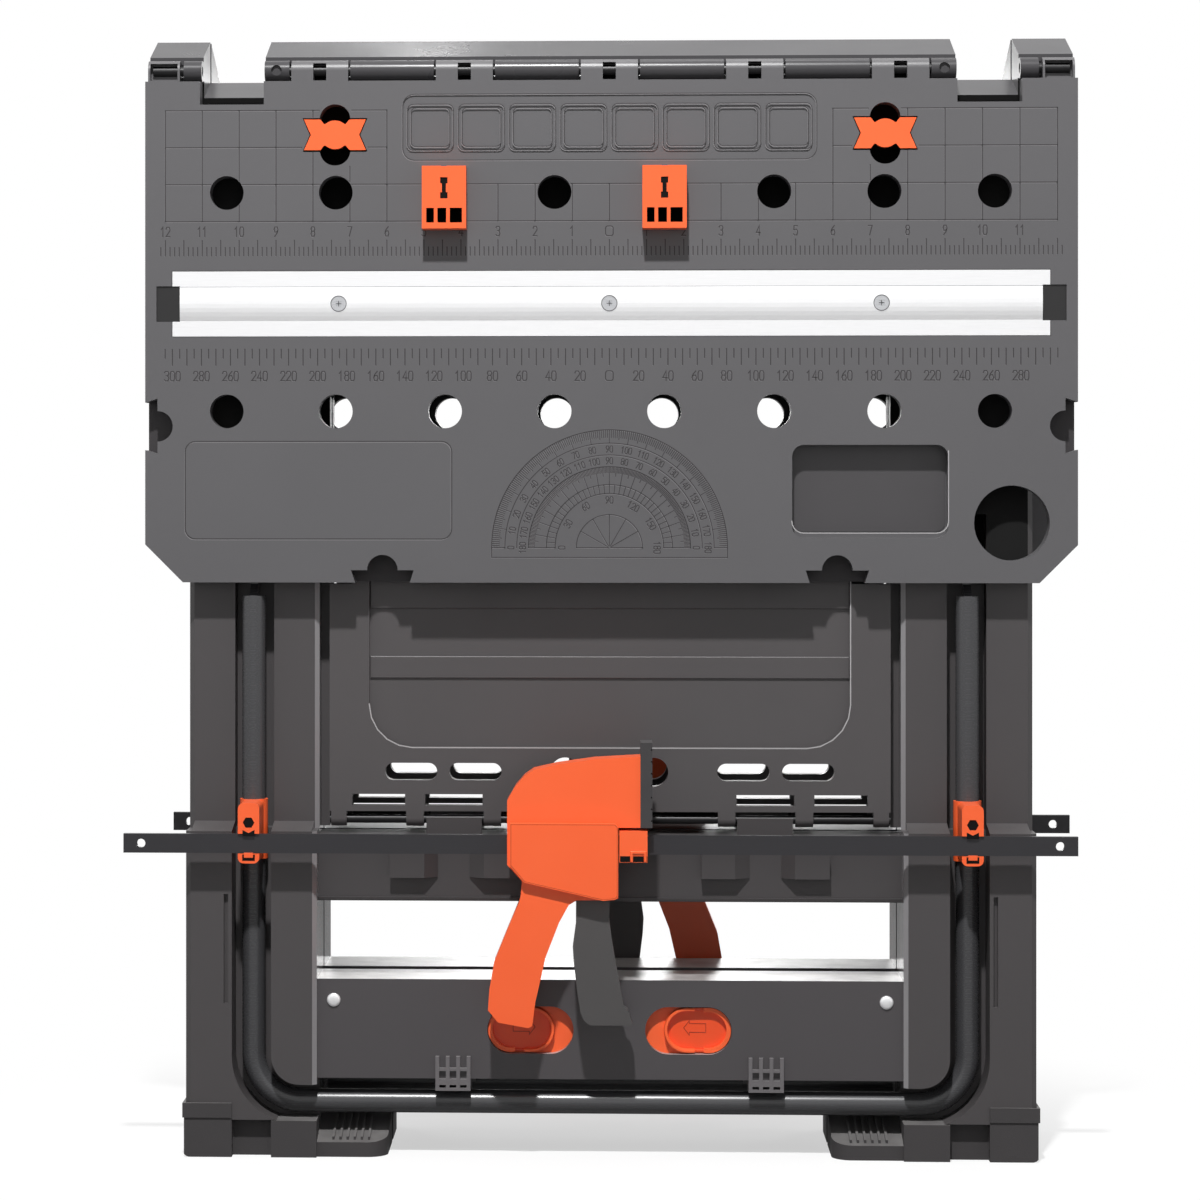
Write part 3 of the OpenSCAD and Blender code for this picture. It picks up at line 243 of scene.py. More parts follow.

# Painted shade behind the panel: faces that look to the front or back, between
# two heights, are painted nearly black, for the deep shade that lies behind the panel.
SHADE_LEAST_FLAT = 0.85
hidden, h_in, h_out = new_group("shade_behind_panel", {"Low": 0.396, "High": 0.736}, ("Mask",))
h_look = math_node(hidden, "ABSOLUTE", face_axes(hidden)["Y"])
h_height = axes_of(hidden, object_place(hidden))["Z"]
h_band = math_node(hidden, "MULTIPLY", math_node(hidden, "GREATER_THAN", h_height, h_in["Low"]),
                   math_node(hidden, "LESS_THAN", h_height, h_in["High"]))
h_flat = math_node(hidden, "GREATER_THAN", h_look, SHADE_LEAST_FLAT)
hidden.links.new(math_node(hidden, "MULTIPLY", h_flat, h_band), h_out["Mask"])

# Painted reflection on side walls: faces that look along X, between two distances
# from the middle, are paler and glossier than the grained face, for the bright room they mirror at
# a grazing look.
WALL_LEAST_SIDE = 0.6
reflection_strip, r_in, r_out = new_group("painted_reflection_strip", {"From": 0.199, "To": 0.202}, ("Mask",))
r_look = math_node(reflection_strip, "ABSOLUTE", face_axes(reflection_strip)["X"])
r_away = math_node(reflection_strip, "ABSOLUTE", axes_of(reflection_strip, object_place(reflection_strip))["X"])
r_band = math_node(reflection_strip, "MULTIPLY", math_node(reflection_strip, "GREATER_THAN", r_away, r_in["From"]),
                   math_node(reflection_strip, "LESS_THAN", r_away, r_in["To"]))
r_side = math_node(reflection_strip, "GREATER_THAN", r_look, WALL_LEAST_SIDE)
reflection_strip.links.new(math_node(reflection_strip, "MULTIPLY", r_side, r_band), r_out["Mask"])

DUST_AND_SHEEN_COLOUR = (0.42, 0.41, 0.40, 1)
PAINTED_SHADE_COLOUR = (0.0012, 0.0011, 0.0011, 1)
PAINTED_REFLECTION_COLOUR, REFLECTION_STRIP_ROUGHNESS = "#8d8b8d", 0.14
GLOSS_SPREAD = 0.12
PIT_DEPTH = 0.0004
NYLON_IOR = 1.49


def add_relief(tree, bsdf, height, strength, depth):
    """Turns a height into the shader's bumps, depth metres deep."""
    n = tree.nodes.new("ShaderNodeBump")
    n.inputs["Strength"].default_value = strength
    n.inputs["Distance"].default_value = depth
    tree.links.new(height, n.inputs["Height"])
    tree.links.new(n.outputs["Normal"], bsdf.inputs["Normal"])


def moulded(name, colour, other, rough=0.5, pit=0.5, bump=0.12, mottle=60.0, dust_and_sheen=0.10,
            mirror=0.5, shaded=None, reflection_band=None):
    """Moulded plastic: two near colours mixed by the mottle, pits as bump, and a pale haze of
    dust and painted sheen on upward faces. shaded gives the heights of its painted shade;
    the last argument gives the distances of a pale side-wall strip, a painted reflection."""
    m = bpy.data.materials.new(name)
    m.use_nodes = True
    t = m.node_tree
    bsdf = t.nodes["Principled BSDF"]
    spark = use_group(t, grain, {"Pit size mm": pit, "Mottle size mm": mottle})
    tone = mix_colours(t, spark["Mottle"], paint(colour), paint(other))
    dust_and_sheen_share = math_node(t, "MULTIPLY", use_group(t, dust_and_sheen_group, {})["Mask"], dust_and_sheen)
    tone = mix_colours(t, dust_and_sheen_share, tone, DUST_AND_SHEEN_COLOUR)
    gloss = math_node(t, "ADD", math_node(t, "MULTIPLY", spark["Mottle"], GLOSS_SPREAD),
                      rough - GLOSS_SPREAD / 2)
    if shaded:
        painted_shade = use_group(t, hidden, {"Low": shaded[0], "High": shaded[1]})["Mask"]
        tone = mix_colours(t, painted_shade, tone, PAINTED_SHADE_COLOUR)
    if reflection_band:
        reflection_mask = use_group(t, reflection_strip, {"From": reflection_band[0], "To": reflection_band[1]})["Mask"]
        tone = mix_colours(t, reflection_mask, tone, paint(PAINTED_REFLECTION_COLOUR))
        gloss = math_node(t, "SUBTRACT", gloss,
                          math_node(t, "MULTIPLY", reflection_mask, rough - REFLECTION_STRIP_ROUGHNESS))
    if shaded:
        gloss = math_node(t, "MAXIMUM", gloss, painted_shade)
    t.links.new(tone, bsdf.inputs["Base Color"])
    t.links.new(gloss, bsdf.inputs["Roughness"])
    add_relief(t, bsdf, spark["Height"], bump, PIT_DEPTH)
    bsdf.inputs["IOR"].default_value = NYLON_IOR
    bsdf.inputs["Specular IOR Level"].default_value = mirror
    return m


SHARP_EDGE = 38


def dress(node, finish, edge=0.0, turns=2):
    """Gives a CAD node its finish, and rounds its sharp edges by edge metres."""
    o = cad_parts[node]
    o.data.materials.clear()
    o.data.materials.append(finish)
    if edge:
        b = o.modifiers.new("edge_rounding", "BEVEL")
        b.width = edge
        b.segments = turns
        b.limit_method = "ANGLE"
        b.angle_limit = math.radians(SHARP_EDGE)


# The legs' faces behind the panel are painted nearly black (painted shade), and a pale strip on
# their inner side walls is a painted reflection.
leg_finish = moulded("leg_nylon", "#464344", "#413e3f", rough=0.46, pit=0.45,
                     shaded=(0.396, 0.72), reflection_band=(0.199, 0.2045))
for half in HALVES:
    for side in ("left", "right"):
        dress(f"{half}_{side}_leg", leg_finish, edge=0.0009)

# Top beam, crossbeam, stretcher and tube clips. The same nylon as the legs,
# screwed between them; the beam's slope is smoother and nearly free of dust.
# The beam's faces behind the panel are painted nearly black: painted shade.
beam_finish = moulded("beam_nylon", "#454446", "#403f41", rough=0.29, bump=0.05, dust_and_sheen=0.02,
                      mirror=0.26, shaded=(0.60, 0.7375))
cross_finish = moulded("cross_nylon", "#403d3e", "#3b3839", rough=0.46)
# The stretcher's upward faces take a strong pale haze: some dust, mostly a painted sheen for the
# light its top catches.
stretcher_finish = moulded("stretcher_nylon", "#4b484a", "#464345", rough=0.34, dust_and_sheen=1.7)
clip_finish = moulded("clip_nylon", "#6b686a", "#656264", rough=0.4, dust_and_sheen=0.6)
for half in HALVES:
    dress(f"{half}_top_beam", beam_finish)
    dress(f"{half}_crossbeam", cross_finish, edge=0.0008)
    dress(f"{half}_stretcher", stretcher_finish, edge=0.0008)
    dress(f"{half}_tube_clips", clip_finish)

# Feet and clamp pads. Soft black rubber, matt, pushed over the leg ends and the
# clamp's head, with fine dust and painted sheen on the upward faces of the feet.
foot_finish = moulded("foot_rubber", "#3b3839", "#343233", rough=0.72, pit=0.7, bump=0.2,
                      dust_and_sheen=0.45)
pad_finish = moulded("pad_rubber", "#383637", "#323031", rough=0.75, pit=0.6, bump=0.2)
for half in HALVES:
    dress(f"{half}_feet", foot_finish, edge=0.0012)
    dress(f"{half}_clamp_pad", pad_finish, edge=0.0006)

# Steel. Hinge rods and pins are blackened, the ridge pin and the rail screws are
# bright zinc, the support tube has a gloss black powder coat and the clamp bar
# a dark oxide. All show fine streaks along X, from drawing and rolling.
STREAK_STRETCH = (0.02, 1, 1)
STREAK_SHADE, STREAK_DEPTH = 0.86, 0.0002
streak, s_in, s_out = new_group("drawn_streaks", {"Streak size mm": 0.4}, ("Value",))
s_long = streak.nodes.new("ShaderNodeMapping")
s_long.inputs["Scale"].default_value = STREAK_STRETCH
streak.links.new(object_place(streak), s_long.inputs["Vector"])
s_noise = noise_spots(streak, s_long.outputs["Vector"], s_in["Streak size mm"], 3)
streak.links.new(s_noise.outputs["Fac"], s_out["Value"])


def metal(name, colour, rough, metallic=1.0, spread=0.16, bump=0.04):
    """Metal with fine streaks along X in its colour, gloss and relief."""
    m = bpy.data.materials.new(name)
    m.use_nodes = True
    t = m.node_tree
    bsdf = t.nodes["Principled BSDF"]
    lines = use_group(t, streak, {})["Value"]
    bright = paint(colour)
    dim = tuple(v * STREAK_SHADE for v in bright[:3]) + (1,)
    t.links.new(mix_colours(t, lines, bright, dim), bsdf.inputs["Base Color"])
    t.links.new(math_node(t, "ADD", math_node(t, "MULTIPLY", lines, spread), rough - spread / 2),
                bsdf.inputs["Roughness"])
    bsdf.inputs["Metallic"].default_value = metallic
    add_relief(t, bsdf, lines, bump, STREAK_DEPTH)
    return m


zinc = metal("bright_zinc", "#d4d5d8", 0.28)
blackened = metal("blackened_steel", "#161517", 0.42, metallic=0.3, spread=0.10)
gloss_black = metal("gloss_black_coat", "#454547", 0.27, metallic=0.0, spread=0.06, bump=0.02)
dark_oxide = metal("dark_oxide", "#353437", 0.38, metallic=0.35)
for half in HALVES:
    for pin in ("panel_pin", "pivot_pins", "shelf_rod"):
        dress(f"{half}_{pin}", blackened)
    dress(f"{half}_rail_screws", zinc)
    dress(f"{half}_tube", gloss_black)
    dress(f"{half}_clamp_bar", dark_oxide, edge=0.0004)
dress("ridge_pin", zinc)

# Work panels. The large nylon mouldings, lighter than the legs, with engraved
# rulers, a protractor, an inch grid and a row of sockets.
panel_finish = moulded("panel_nylon", "#5c5b5d", "#565557", rough=0.40, pit=0.45, bump=0.10,
                       mottle=90.0)
for half in HALVES:
    dress(f"{half}_panel", panel_finish, edge=0.0004, turns=1)
    dress(f"{half}_saddles", panel_finish, edge=0.0006)

# Markings of the panels. Rulers, inch grid, protractor and frames are fine
# grooves cut by the mould, each drawn as a dark ribbon of painted shade with a pale
# ribbon of painted highlight along its lower side.
# Runs of points are (x, height) in mm; pieces are in metres.
face_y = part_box("front_panel")[0][1]
INCH = 25.4
GROOVE_WIDTH, LIP_WIDTH = 0.7, 0.34
GROOVE_PROUD, LIP_PROUD, LIP_SIDESTEP = 0.00009, 0.00006, 0.6
SHARPEST_MITRE = 0.35


def flat_finish(name, colour, rough=0.6):
    """Plain moulded finish for the walls and lips of grooves."""
    return moulded(name, colour, colour, rough=rough, pit=0.3, bump=0.03, dust_and_sheen=0.02)


groove_dark = flat_finish("groove_shade", "#2d2a2c")
groove_highlight = flat_finish("groove_highlight", "#807e80")


def add_piece(name, bm, finish, body, turned=False, outward=True):
    """Makes a piece from a bmesh, as it is or turned by half a turn to the rear half."""
    if outward:
        bmesh.ops.recalc_face_normals(bm, faces=bm.faces)
    data = bpy.data.meshes.new(name)
    bm.to_mesh(data)
    data.materials.append(finish)
    if turned:
        data.transform(Matrix.Rotation(math.pi, 4, "Z"))
    piece = bpy.data.objects.new(name, data)
    bpy.context.scene.collection.objects.link(piece)
    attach(piece, body)
    return piece


def add_pair(name, bm, finish, body, outward=True, soften=0.0):
    """Makes the same piece for both halves, with its edges rounded by soften metres."""
    for half in HALVES:
        piece = add_piece(f"{half}_{name}", bm, finish, f"{half}_{body}",
                          half == "rear", outward)
        if soften:
            edge = piece.modifiers.new("edge_rounding", "BEVEL")
            edge.width = soften
            edge.segments = 2
    bm.free()


def edge_pairs(run, width):
    """Points on both sides of a run, width mm apart, mitred at its corners."""
    pts = [Vector(p) for p in run]
    closed = len(pts) > 2 and (pts[0] - pts[-1]).length < 1e-6
    if closed:
        pts.pop()
    last = len(pts) - 1
    pairs = []
    for k, p in enumerate(pts):
        back = (p - pts[k - 1]).normalized() if (k or closed) else None
        ahead = (pts[(k + 1) % len(pts)] - p).normalized() if (k < last or closed) else None
        one = back or ahead
        way = one + (ahead or back)
        way = way.normalized() if way.length > 1e-6 else one
        across = Vector((-way.y, way.x))
        reach = width / 2 / max(SHARPEST_MITRE, abs(across.dot(Vector((-one.y, one.x)))))
        push = Vector((0, 0))
        if not closed and k in (0, last):
            push = way * (width / 2 if k else -width / 2)
        pairs.append((p + push + across * reach, p + push - across * reach))
    return pairs, closed


def lay_lines(name, runs, width, y, finish, body):
    """Fine ribbons, width mm wide, along runs on the face at y, for both halves."""
    bm = bmesh.new()
    for run in runs:
        pairs, closed = edge_pairs(run, width)
        rows = [[bm.verts.new((q.x / MM, y, q.y / MM)) for q in pair] for pair in pairs]
        for k in range(len(rows) if closed else len(rows) - 1):
            a, b = rows[k], rows[(k + 1) % len(rows)]
            bm.faces.new((a[0], b[0], b[1], a[1]))
    bmesh.ops.recalc_face_normals(bm, faces=bm.faces)
    for f in bm.faces:
        if f.normal.y > 0:
            f.normal_flip()
    add_pair(name, bm, finish, body, outward=False)


def cut_marks(name, runs, width=GROOVE_WIDTH, lip=LIP_WIDTH):
    """Grooves in both panels: a dark ribbon of painted shade and, just below it, a pale one of
    painted highlight.
    """
    drop = (width + lip) / 2
    below = [[(x - drop * LIP_SIDESTEP, z - drop) for x, z in run] for run in runs]
    lay_lines(f"{name}_shade", runs, width, face_y - GROOVE_PROUD, groove_dark,
              "panel")
    lay_lines(f"{name}_lip", below, lip, face_y - LIP_PROUD, groove_highlight,
              "panel")


def arc_run(cx, cz, r, a, b, steps):
    """Points along an arc from a to b degrees."""
    return [(cx + r * math.cos(math.radians(a + (b - a) * k / steps)),
             cz + r * math.sin(math.radians(a + (b - a) * k / steps))) for k in range(steps + 1)]


def soft_frame(cx, cz, w, h, r):
    """A closed rectangle with rounded corners."""
    run = []
    for sx, sz, a in ((1, 1, 0), (-1, 1, 90), (-1, -1, 180), (1, -1, 270)):
        run += arc_run(cx + sx * (w / 2 - r), cz + sz * (h / 2 - r), r, a, a + 90, 5)
    return run + [run[0]]


# Strokes of the ten figures, in a box one wide and one high, as an engraver
# would cut them.
FIGURES = {
    "0": [[(0, .22), (.2, 0), (.8, 0), (1, .22), (1, .78), (.8, 1), (.2, 1), (0, .78), (0, .22)]],
    "1": [[(.1, .78), (.5, 1), (.5, 0)]],
    "2": [[(0, .8), (.2, 1), (.8, 1), (1, .8), (1, .62), (0, 0), (1, 0)]],
    "3": [[(0, .88), (.2, 1), (.8, 1), (1, .8), (.8, .54), (.4, .54)],
          [(.8, .5), (1, .25), (.8, 0), (.2, 0), (0, .12)]],
    "4": [[(.75, 0), (.75, 1), (0, .28), (1, .28)]],
    "5": [[(.95, 1), (.1, 1), (.05, .56), (.75, .62), (1, .42), (1, .2), (.8, 0), (.2, 0),
           (0, .12)]],
    "6": [[(.85, 1), (.3, .7), (0, .3), (.2, 0), (.8, 0), (1, .25), (.8, .56), (.15, .5)]],
    "7": [[(0, 1), (1, 1), (.35, 0)]],
    "8": [[(.2, .54), (0, .78), (.2, 1), (.8, 1), (1, .78), (.8, .54), (.2, .54)],
          [(.15, .5), (0, .25), (.2, 0), (.8, 0), (1, .25), (.85, .5)]],
    "9": [[(.15, 0), (.7, .3), (1, .7), (.8, 1), (.2, 1), (0, .75), (.2, .44), (.85, .5)]],
}
FIGURE_GAP = 0.36


def figures(text, cx, cz, w, h, turn=0.0):
    """A number's strokes, centred on a point and turned by some degrees."""
    gap = FIGURE_GAP * w
    whole = len(text) * w + (len(text) - 1) * gap
    c, s = math.cos(math.radians(turn)), math.sin(math.radians(turn))
    runs = []
    for k, figure in enumerate(text):
        for stroke in FIGURES[figure]:
            run = []
            for u, v in stroke:
                x, z = -whole / 2 + k * (w + gap) + u * w, (v - 0.5) * h
                run.append((cx + x * c - z * s, cz + x * s + z * c))
            runs.append(run)
    return runs


# Inch grid: three rows at each end, the lowest one running the whole width. It
# stops short of the dog holes and of the parked dogs.
GRID_FOOT, GRID_NEAR, GRID_FAR = 641.0, 6, 12
rows = [GRID_FOOT + k * INCH for k in range(4)]
grid = []
for side in (-1, 1):
    for z in rows[1:]:
        grid.append([(side * GRID_NEAR * INCH, z), (side * GRID_FAR * INCH, z)])
    for k in range(GRID_NEAR, GRID_FAR + 1):
        grid.append([(side * k * INCH, rows[0]), (side * k * INCH, rows[3])])
grid.append([(-GRID_FAR * INCH, rows[0]), (GRID_FAR * INCH, rows[0])])
grid.append([(-GRID_NEAR * INCH, rows[1]), (GRID_NEAR * INCH, rows[1])])
for k in range(1 - GRID_NEAR, GRID_NEAR):
    grid.append([(k * INCH, rows[0]), (k * INCH, rows[1])])

HOLE_CLEAR, HOLE_PITCH, HOLES_OVER_FOOT, HOLES_UNDER_FOOT = 12.1, 75.0, 25.9, 124.1
DOG_X, DOG_Z = 188.0, 700.3
DOG_CLEAR = ((11.3, 21.8), (22.6, 11.8))
LONG_STRETCH, TEST_STEP = 2, 0.8
jaw_foot_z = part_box("jaw_left")[0][2] * MM
hole_spots = [("disc", s * h * HOLE_PITCH, z, HOLE_CLEAR, HOLE_CLEAR) for s in (-1, 1)
              for h in (0.5, 1.5, 2.5, 3.5)
              for z in (jaw_foot_z + HOLES_OVER_FOOT, jaw_foot_z - HOLES_UNDER_FOOT)]
dog_spots = [("box", s * DOG_X, DOG_Z, w, h) for w, h in DOG_CLEAR for s in (-1, 1)]


def straighten(run):
    """Drops the points that lie on a straight stretch."""
    out = [run[0]]
    for a, b, c in zip(run, run[1:], run[2:]):
        if abs((b[0] - a[0]) * (c[1] - b[1]) - (b[1] - a[1]) * (c[0] - b[0])) > 1e-6:
            out.append(b)
    return out + [run[-1]]


def covered(x, z, spots):
    """Whether a point lies over one of the discs or boxes."""
    return any(abs(x - sx) < w and abs(z - sz) < h and
               (shape == "box" or math.hypot(x - sx, z - sz) < w) for shape, sx, sz, w, h in spots)


def clear_of(runs, spots):
    """Leaves out of the runs what would hang over a hole, a recess or a plugged piece."""
    kept = []
    for run in runs:
        piece = []
        for (ax, az), (bx, bz) in zip(run, run[1:]):
            span = math.hypot(bx - ax, bz - az)
            n = max(1, int(span / TEST_STEP)) if span > LONG_STRETCH else 1
            for k in range(n):
                p = (ax + (bx - ax) * k / n, az + (bz - az) * k / n)
                q = (ax + (bx - ax) * (k + 1) / n, az + (bz - az) * (k + 1) / n)
                if covered((p[0] + q[0]) / 2, (p[1] + q[1]) / 2, spots):
                    if len(piece) > 1:
                        kept.append(piece)
                    piece = []
                else:
                    piece = (piece or [p]) + [q]
        if len(piece) > 1:
            kept.append(piece)
    return [straighten(k) for k in kept]


cut_marks("inch_grid", clear_of(grid, hole_spots + dog_spots))

# Rulers. Above the rail, eighths of an inch with long strokes at the halves;
# below it, a stroke every five millimetres, a long one every ten and a figure
# every twenty. An open ring marks the middle of both.
FIGURE_HEIGHT, WIDE_UP_TO = 6.4, 4
MIDDLE_RING = (5.2, 6.6, 1.6)
INCH_LAST, INCH_FOOT, INCH_HALF, INCH_EIGHTH, INCH_ROW = 97, 617.6, 628.0, 623.2, 634.0
MM_LAST, MM_STEP, MM_HEAD, MM_TEN, MM_FIVE, MM_ROW = 61, 5.0, 553.3, 542.5, 547.4, 534.9


def ruler_numbers(last, pitch, z, step, wide, narrow):
    """Figures left and right of the middle; those past the fourth may be narrower."""
    runs = []
    for k in range(-last, last):
        if k == 0:
            runs.append(soft_frame(0, z, *MIDDLE_RING))
        else:
            runs += figures(str(abs(k) * step), k * pitch, z,
                            wide if abs(k) <= WIDE_UP_TO else narrow, FIGURE_HEIGHT)
    return runs


cut_marks("inch_ticks",
          [[(k * INCH / 8, INCH_FOOT), (k * INCH / 8, INCH_EIGHTH if k % 4 else INCH_HALF)]
           for k in range(-INCH_LAST, INCH_LAST + 1)], width=0.75, lip=0.3)
cut_marks("inch_numbers", ruler_numbers(12, INCH, INCH_ROW, 1, 2.6, 2.6), width=0.75, lip=0.25)
cut_marks("mm_ticks",
          [[(k * MM_STEP, MM_HEAD), (k * MM_STEP, MM_FIVE if k % 2 else MM_TEN)]
           for k in range(-MM_LAST, MM_LAST + 1)], width=0.8, lip=0.3)
cut_marks("mm_numbers", ruler_numbers(15, 20.0, MM_ROW, 20, 3.0, 2.9), width=0.75, lip=0.25)

# Screw sockets: a shallow frame round eight double-ringed squares. The bare
# plate at the panel's lower left has only its frame.
SOCKET, SOCKET_STEP, SOCKET_Z, SOCKET_RIM = 31.5, 35.0, 705.3, 5
FIELD_WIDTH, FIELD_HEIGHT = 283, 45.2
FIELD_CORNER, SOCKET_CORNER, RIM_CORNER = 8, 4, 3.2
PLATE_X, PLATE_Z, PLATE_WIDTH, PLATE_HEIGHT, PLATE_CORNER = -199.5, 456.6, 183.2, 66.9, 7
rings = [soft_frame(0, SOCKET_Z, FIELD_WIDTH, FIELD_HEIGHT, FIELD_CORNER)]
for k in range(8):
    x = (k - 3.5) * SOCKET_STEP
    rings.append(soft_frame(x, SOCKET_Z, SOCKET, SOCKET, SOCKET_CORNER))
    rings.append(soft_frame(x, SOCKET_Z, SOCKET - SOCKET_RIM, SOCKET - SOCKET_RIM, RIM_CORNER))
plate_rim = soft_frame(PLATE_X, PLATE_Z, PLATE_WIDTH, PLATE_HEIGHT, PLATE_CORNER)
cut_marks("socket_frames", rings, width=0.6, lip=0.45)
cut_marks("plate_frame", [plate_rim], width=0.75, lip=0.5)

# Protractor: rings, degree strokes and three rows of figures round one centre,
# on a base line as long as its outer ring is wide.
PROTRACTOR_Z, BASE_DROP = 417.3, 6.7
OUTER, BAND, ROW_LINE, MIDDLE, INNER, SMALL, TINY = 80.6, 71.5, 63.4, 55.4, 43.1, 37.1, 22.6
ring_runs = [arc_run(0, PROTRACTOR_Z, r, 0, 180, 60)
             for r in (OUTER, BAND, ROW_LINE, MIDDLE, INNER, SMALL, TINY)]
base_z = PROTRACTOR_Z - BASE_DROP
ring_runs.append([(-OUTER, PROTRACTOR_Z), (-OUTER, base_z), (OUTER, base_z), (OUTER, PROTRACTOR_Z)])
for a, b in ((BAND, OUTER), (SMALL, MIDDLE), (0.8, TINY)):
    ring_runs += [[(s * a, PROTRACTOR_Z), (s * b, PROTRACTOR_Z)] for s in (-1, 1)]


def spoke(a, r, q):
    """A stroke along the ray at a degrees, between two radii."""
    c, s = math.cos(math.radians(a)), math.sin(math.radians(a))
    return [(r * c, PROTRACTOR_Z + r * s), (q * c, PROTRACTOR_Z + q * s)]


# A row of strokes goes by its start and its lengths at tens, fives and ones; a
# row of figures goes by its radius and a figure's width and height.
STROKE_ROWS = ((80.4, 8.8, 6.4, 5.0), (55.2, 12.0, 6.2, 3.9))
FIGURE_ROWS = ((67.4, 1.9, 4.2), (59.4, 1.9, 4.2), (32.6, 2.1, 4.4))
strokes, numbers = [], []
for a in range(1, 180):
    tens, fives = a % 10 == 0, a % 5 == 0
    for start, longest, middling, short in STROKE_ROWS:
        strokes.append(spoke(a, start, start - (longest if tens else middling if fives else short)))
    if fives:
        strokes.append(spoke(a, INNER, SMALL))
    if a % 30 == 0:
        strokes.append(spoke(a, 1.4, TINY))
for a in range(0, 181, 10):
    c, s = math.cos(math.radians(a)), math.sin(math.radians(a))
    for (r, w, h), text in zip(FIGURE_ROWS, (180 - a, a, 180 - a)):
        if r > MIDDLE or a % 30 == 0:
            numbers += figures(str(text), r * c, PROTRACTOR_Z + r * s, w, h, a - 90)
cut_marks("protractor_rings", ring_runs, width=0.6, lip=0.3)
cut_marks("protractor_strokes", strokes, width=0.5, lip=0.2)
cut_marks("protractor_numbers", numbers, width=0.6, lip=0.2)

# Black linings: painted shade. What shows black through the windows of the hinge
# tabs, round the parked dogs and inside the jaws is deep shade, painted as matt black pieces behind
# them.
shade_lining = moulded("painted_shade_lining", "#0b0a0a", "#080707", rough=0.8, pit=0.4, bump=0.05, dust_and_sheen=0.0,
                 mirror=0.15)
hinge_low, hinge_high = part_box("front_panel_pin")
hinge_mid_z = (hinge_low[2] + hinge_high[2]) / 2
LIP_BEHIND_PIN, TAB_PROUD, TAB_GAP = 0.0095, 0.0002, 0.00002
TAB_PITCH, TAB_WINDOW, TAB_BELOW, TAB_ABOVE = 0.0993, 0.0065, 0.0055, 0.0068
lip_face = hinge_low[1] + LIP_BEHIND_PIN


def slab(bm, x, y, z):
    """A block between two corners, in metres."""
    v = [bm.verts.new((x[i], y[j], z[k])) for i in (0, 1) for j in (0, 1) for k in (0, 1)]
    for a, b, c, d in ((0, 1, 3, 2), (4, 6, 7, 5), (0, 4, 5, 1), (2, 3, 7, 6), (0, 2, 6, 4),
                       (1, 5, 7, 3)):
        bm.faces.new((v[a], v[b], v[c], v[d]))


def open_well(bm, x, z, y_mouth, y_floor):
    """A lining of a square blind opening: walls and a floor, open towards the viewer."""
    shrink = 0.00008
    x, z = (x[0] + shrink, x[1] - shrink), (z[0] + shrink, z[1] - shrink)
    near, far = [], []
    for i, k in ((0, 0), (1, 0), (1, 1), (0, 1)):
        near.append(bm.verts.new((x[i], y_mouth, z[k])))
        far.append(bm.verts.new((x[i], y_floor, z[k])))
    for k in range(4):
        bm.faces.new((near[k], near[(k + 1) % 4], far[(k + 1) % 4], far[k]))
    bm.faces.new(far)


bm = bmesh.new()
for k in range(-2, 3):
    x = k * TAB_PITCH
    slab(bm, (x - TAB_WINDOW, x + TAB_WINDOW), (lip_face - TAB_PROUD, lip_face - TAB_GAP),
         (hinge_mid_z - TAB_BELOW, hinge_mid_z + TAB_ABOVE))
add_pair("tab_shade_linings", bm, shade_lining, "frame")

# Painted shade in the two jaws: black linings of three square eyes along the foot and,
# above them, of the slot in the shape of a capital I, filled a hair below the jaw's face.
JAW_EYES, EYE_FOOT, EYE_HEAD = ((-12.0, -6.8), (-4.4, 1.6), (4.0, 12.3)), 0.004, 0.014
SLOT_FOOT, SLOT_STEPS, SLOT_WIDE, SLOT_SLIM = 0.0204, (0, 0.0042, 0.0102, 0.0144), 0.0025, 0.0014
FIT, JAW_FLOOR, EYE_MOUTH, SLOT_MOUTH, SLOT_FILL = 0.0001, 0.0021, 0.0012, 0.0003, 0.0006
floor_y = face_y - JAW_FLOOR
for side in ("left", "right"):
    low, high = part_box(f"jaw_{side}")
    x0 = (low[0] + high[0]) / 2
    bm = bmesh.new()
    for a, b in JAW_EYES:
        open_well(bm, (x0 + a / MM, x0 + b / MM), (low[2] + EYE_FOOT, low[2] + EYE_HEAD),
                  low[1] + EYE_MOUTH, floor_y)
    z = [low[2] + SLOT_FOOT + h for h in SLOT_STEPS]
    open_well(bm, (x0 - SLOT_WIDE, x0 + SLOT_WIDE), (z[0], z[3]), floor_y + SLOT_MOUTH, floor_y)
    for reach, foot, head in ((SLOT_WIDE, z[0] + FIT, z[1]), (SLOT_WIDE, z[2], z[3] - FIT),
                              (SLOT_SLIM, z[1], z[2])):
        slab(bm, (x0 - reach + FIT, x0 + reach - FIT), (low[1] + SLOT_FILL, floor_y), (foot, head))
    add_piece(f"jaw_{side}_lining", bm, shade_lining, f"jaw_{side}")
    bm.free()

# Lining of the bow-tie recesses: painted shade. Their floor and walls, in black, are
# seen as a black line round the parked dog, and whole when the dog is pulled out.
BOW = ((0, -.7), (.35, -.7), (.47, -1), (1, -1), (.78, 0), (1, 1), (.47, 1), (.35, .7), (0, .7))
BOW_REACH, BOW_RISE, BOW_FLOOR, BOW_MOUTH = 0.02222, 0.01147, 0.00392, 0.0003
bm = bmesh.new()
for x0 in (-DOG_X / MM, DOG_X / MM):
    for s in (-1, 1):
        rim = [(x0 + s * u * BOW_REACH, DOG_Z / MM + v * BOW_RISE) for u, v in BOW]
        loop = [bm.verts.new((x, face_y + BOW_FLOOR, z)) for x, z in rim]
        bm.faces.new(loop)
        wall_top = [bm.verts.new((x, face_y + BOW_MOUTH, z)) for x, z in rim]
        for k in range(len(rim) - 1):
            bm.faces.new((wall_top[k], wall_top[k + 1], loop[k + 1], loop[k]))
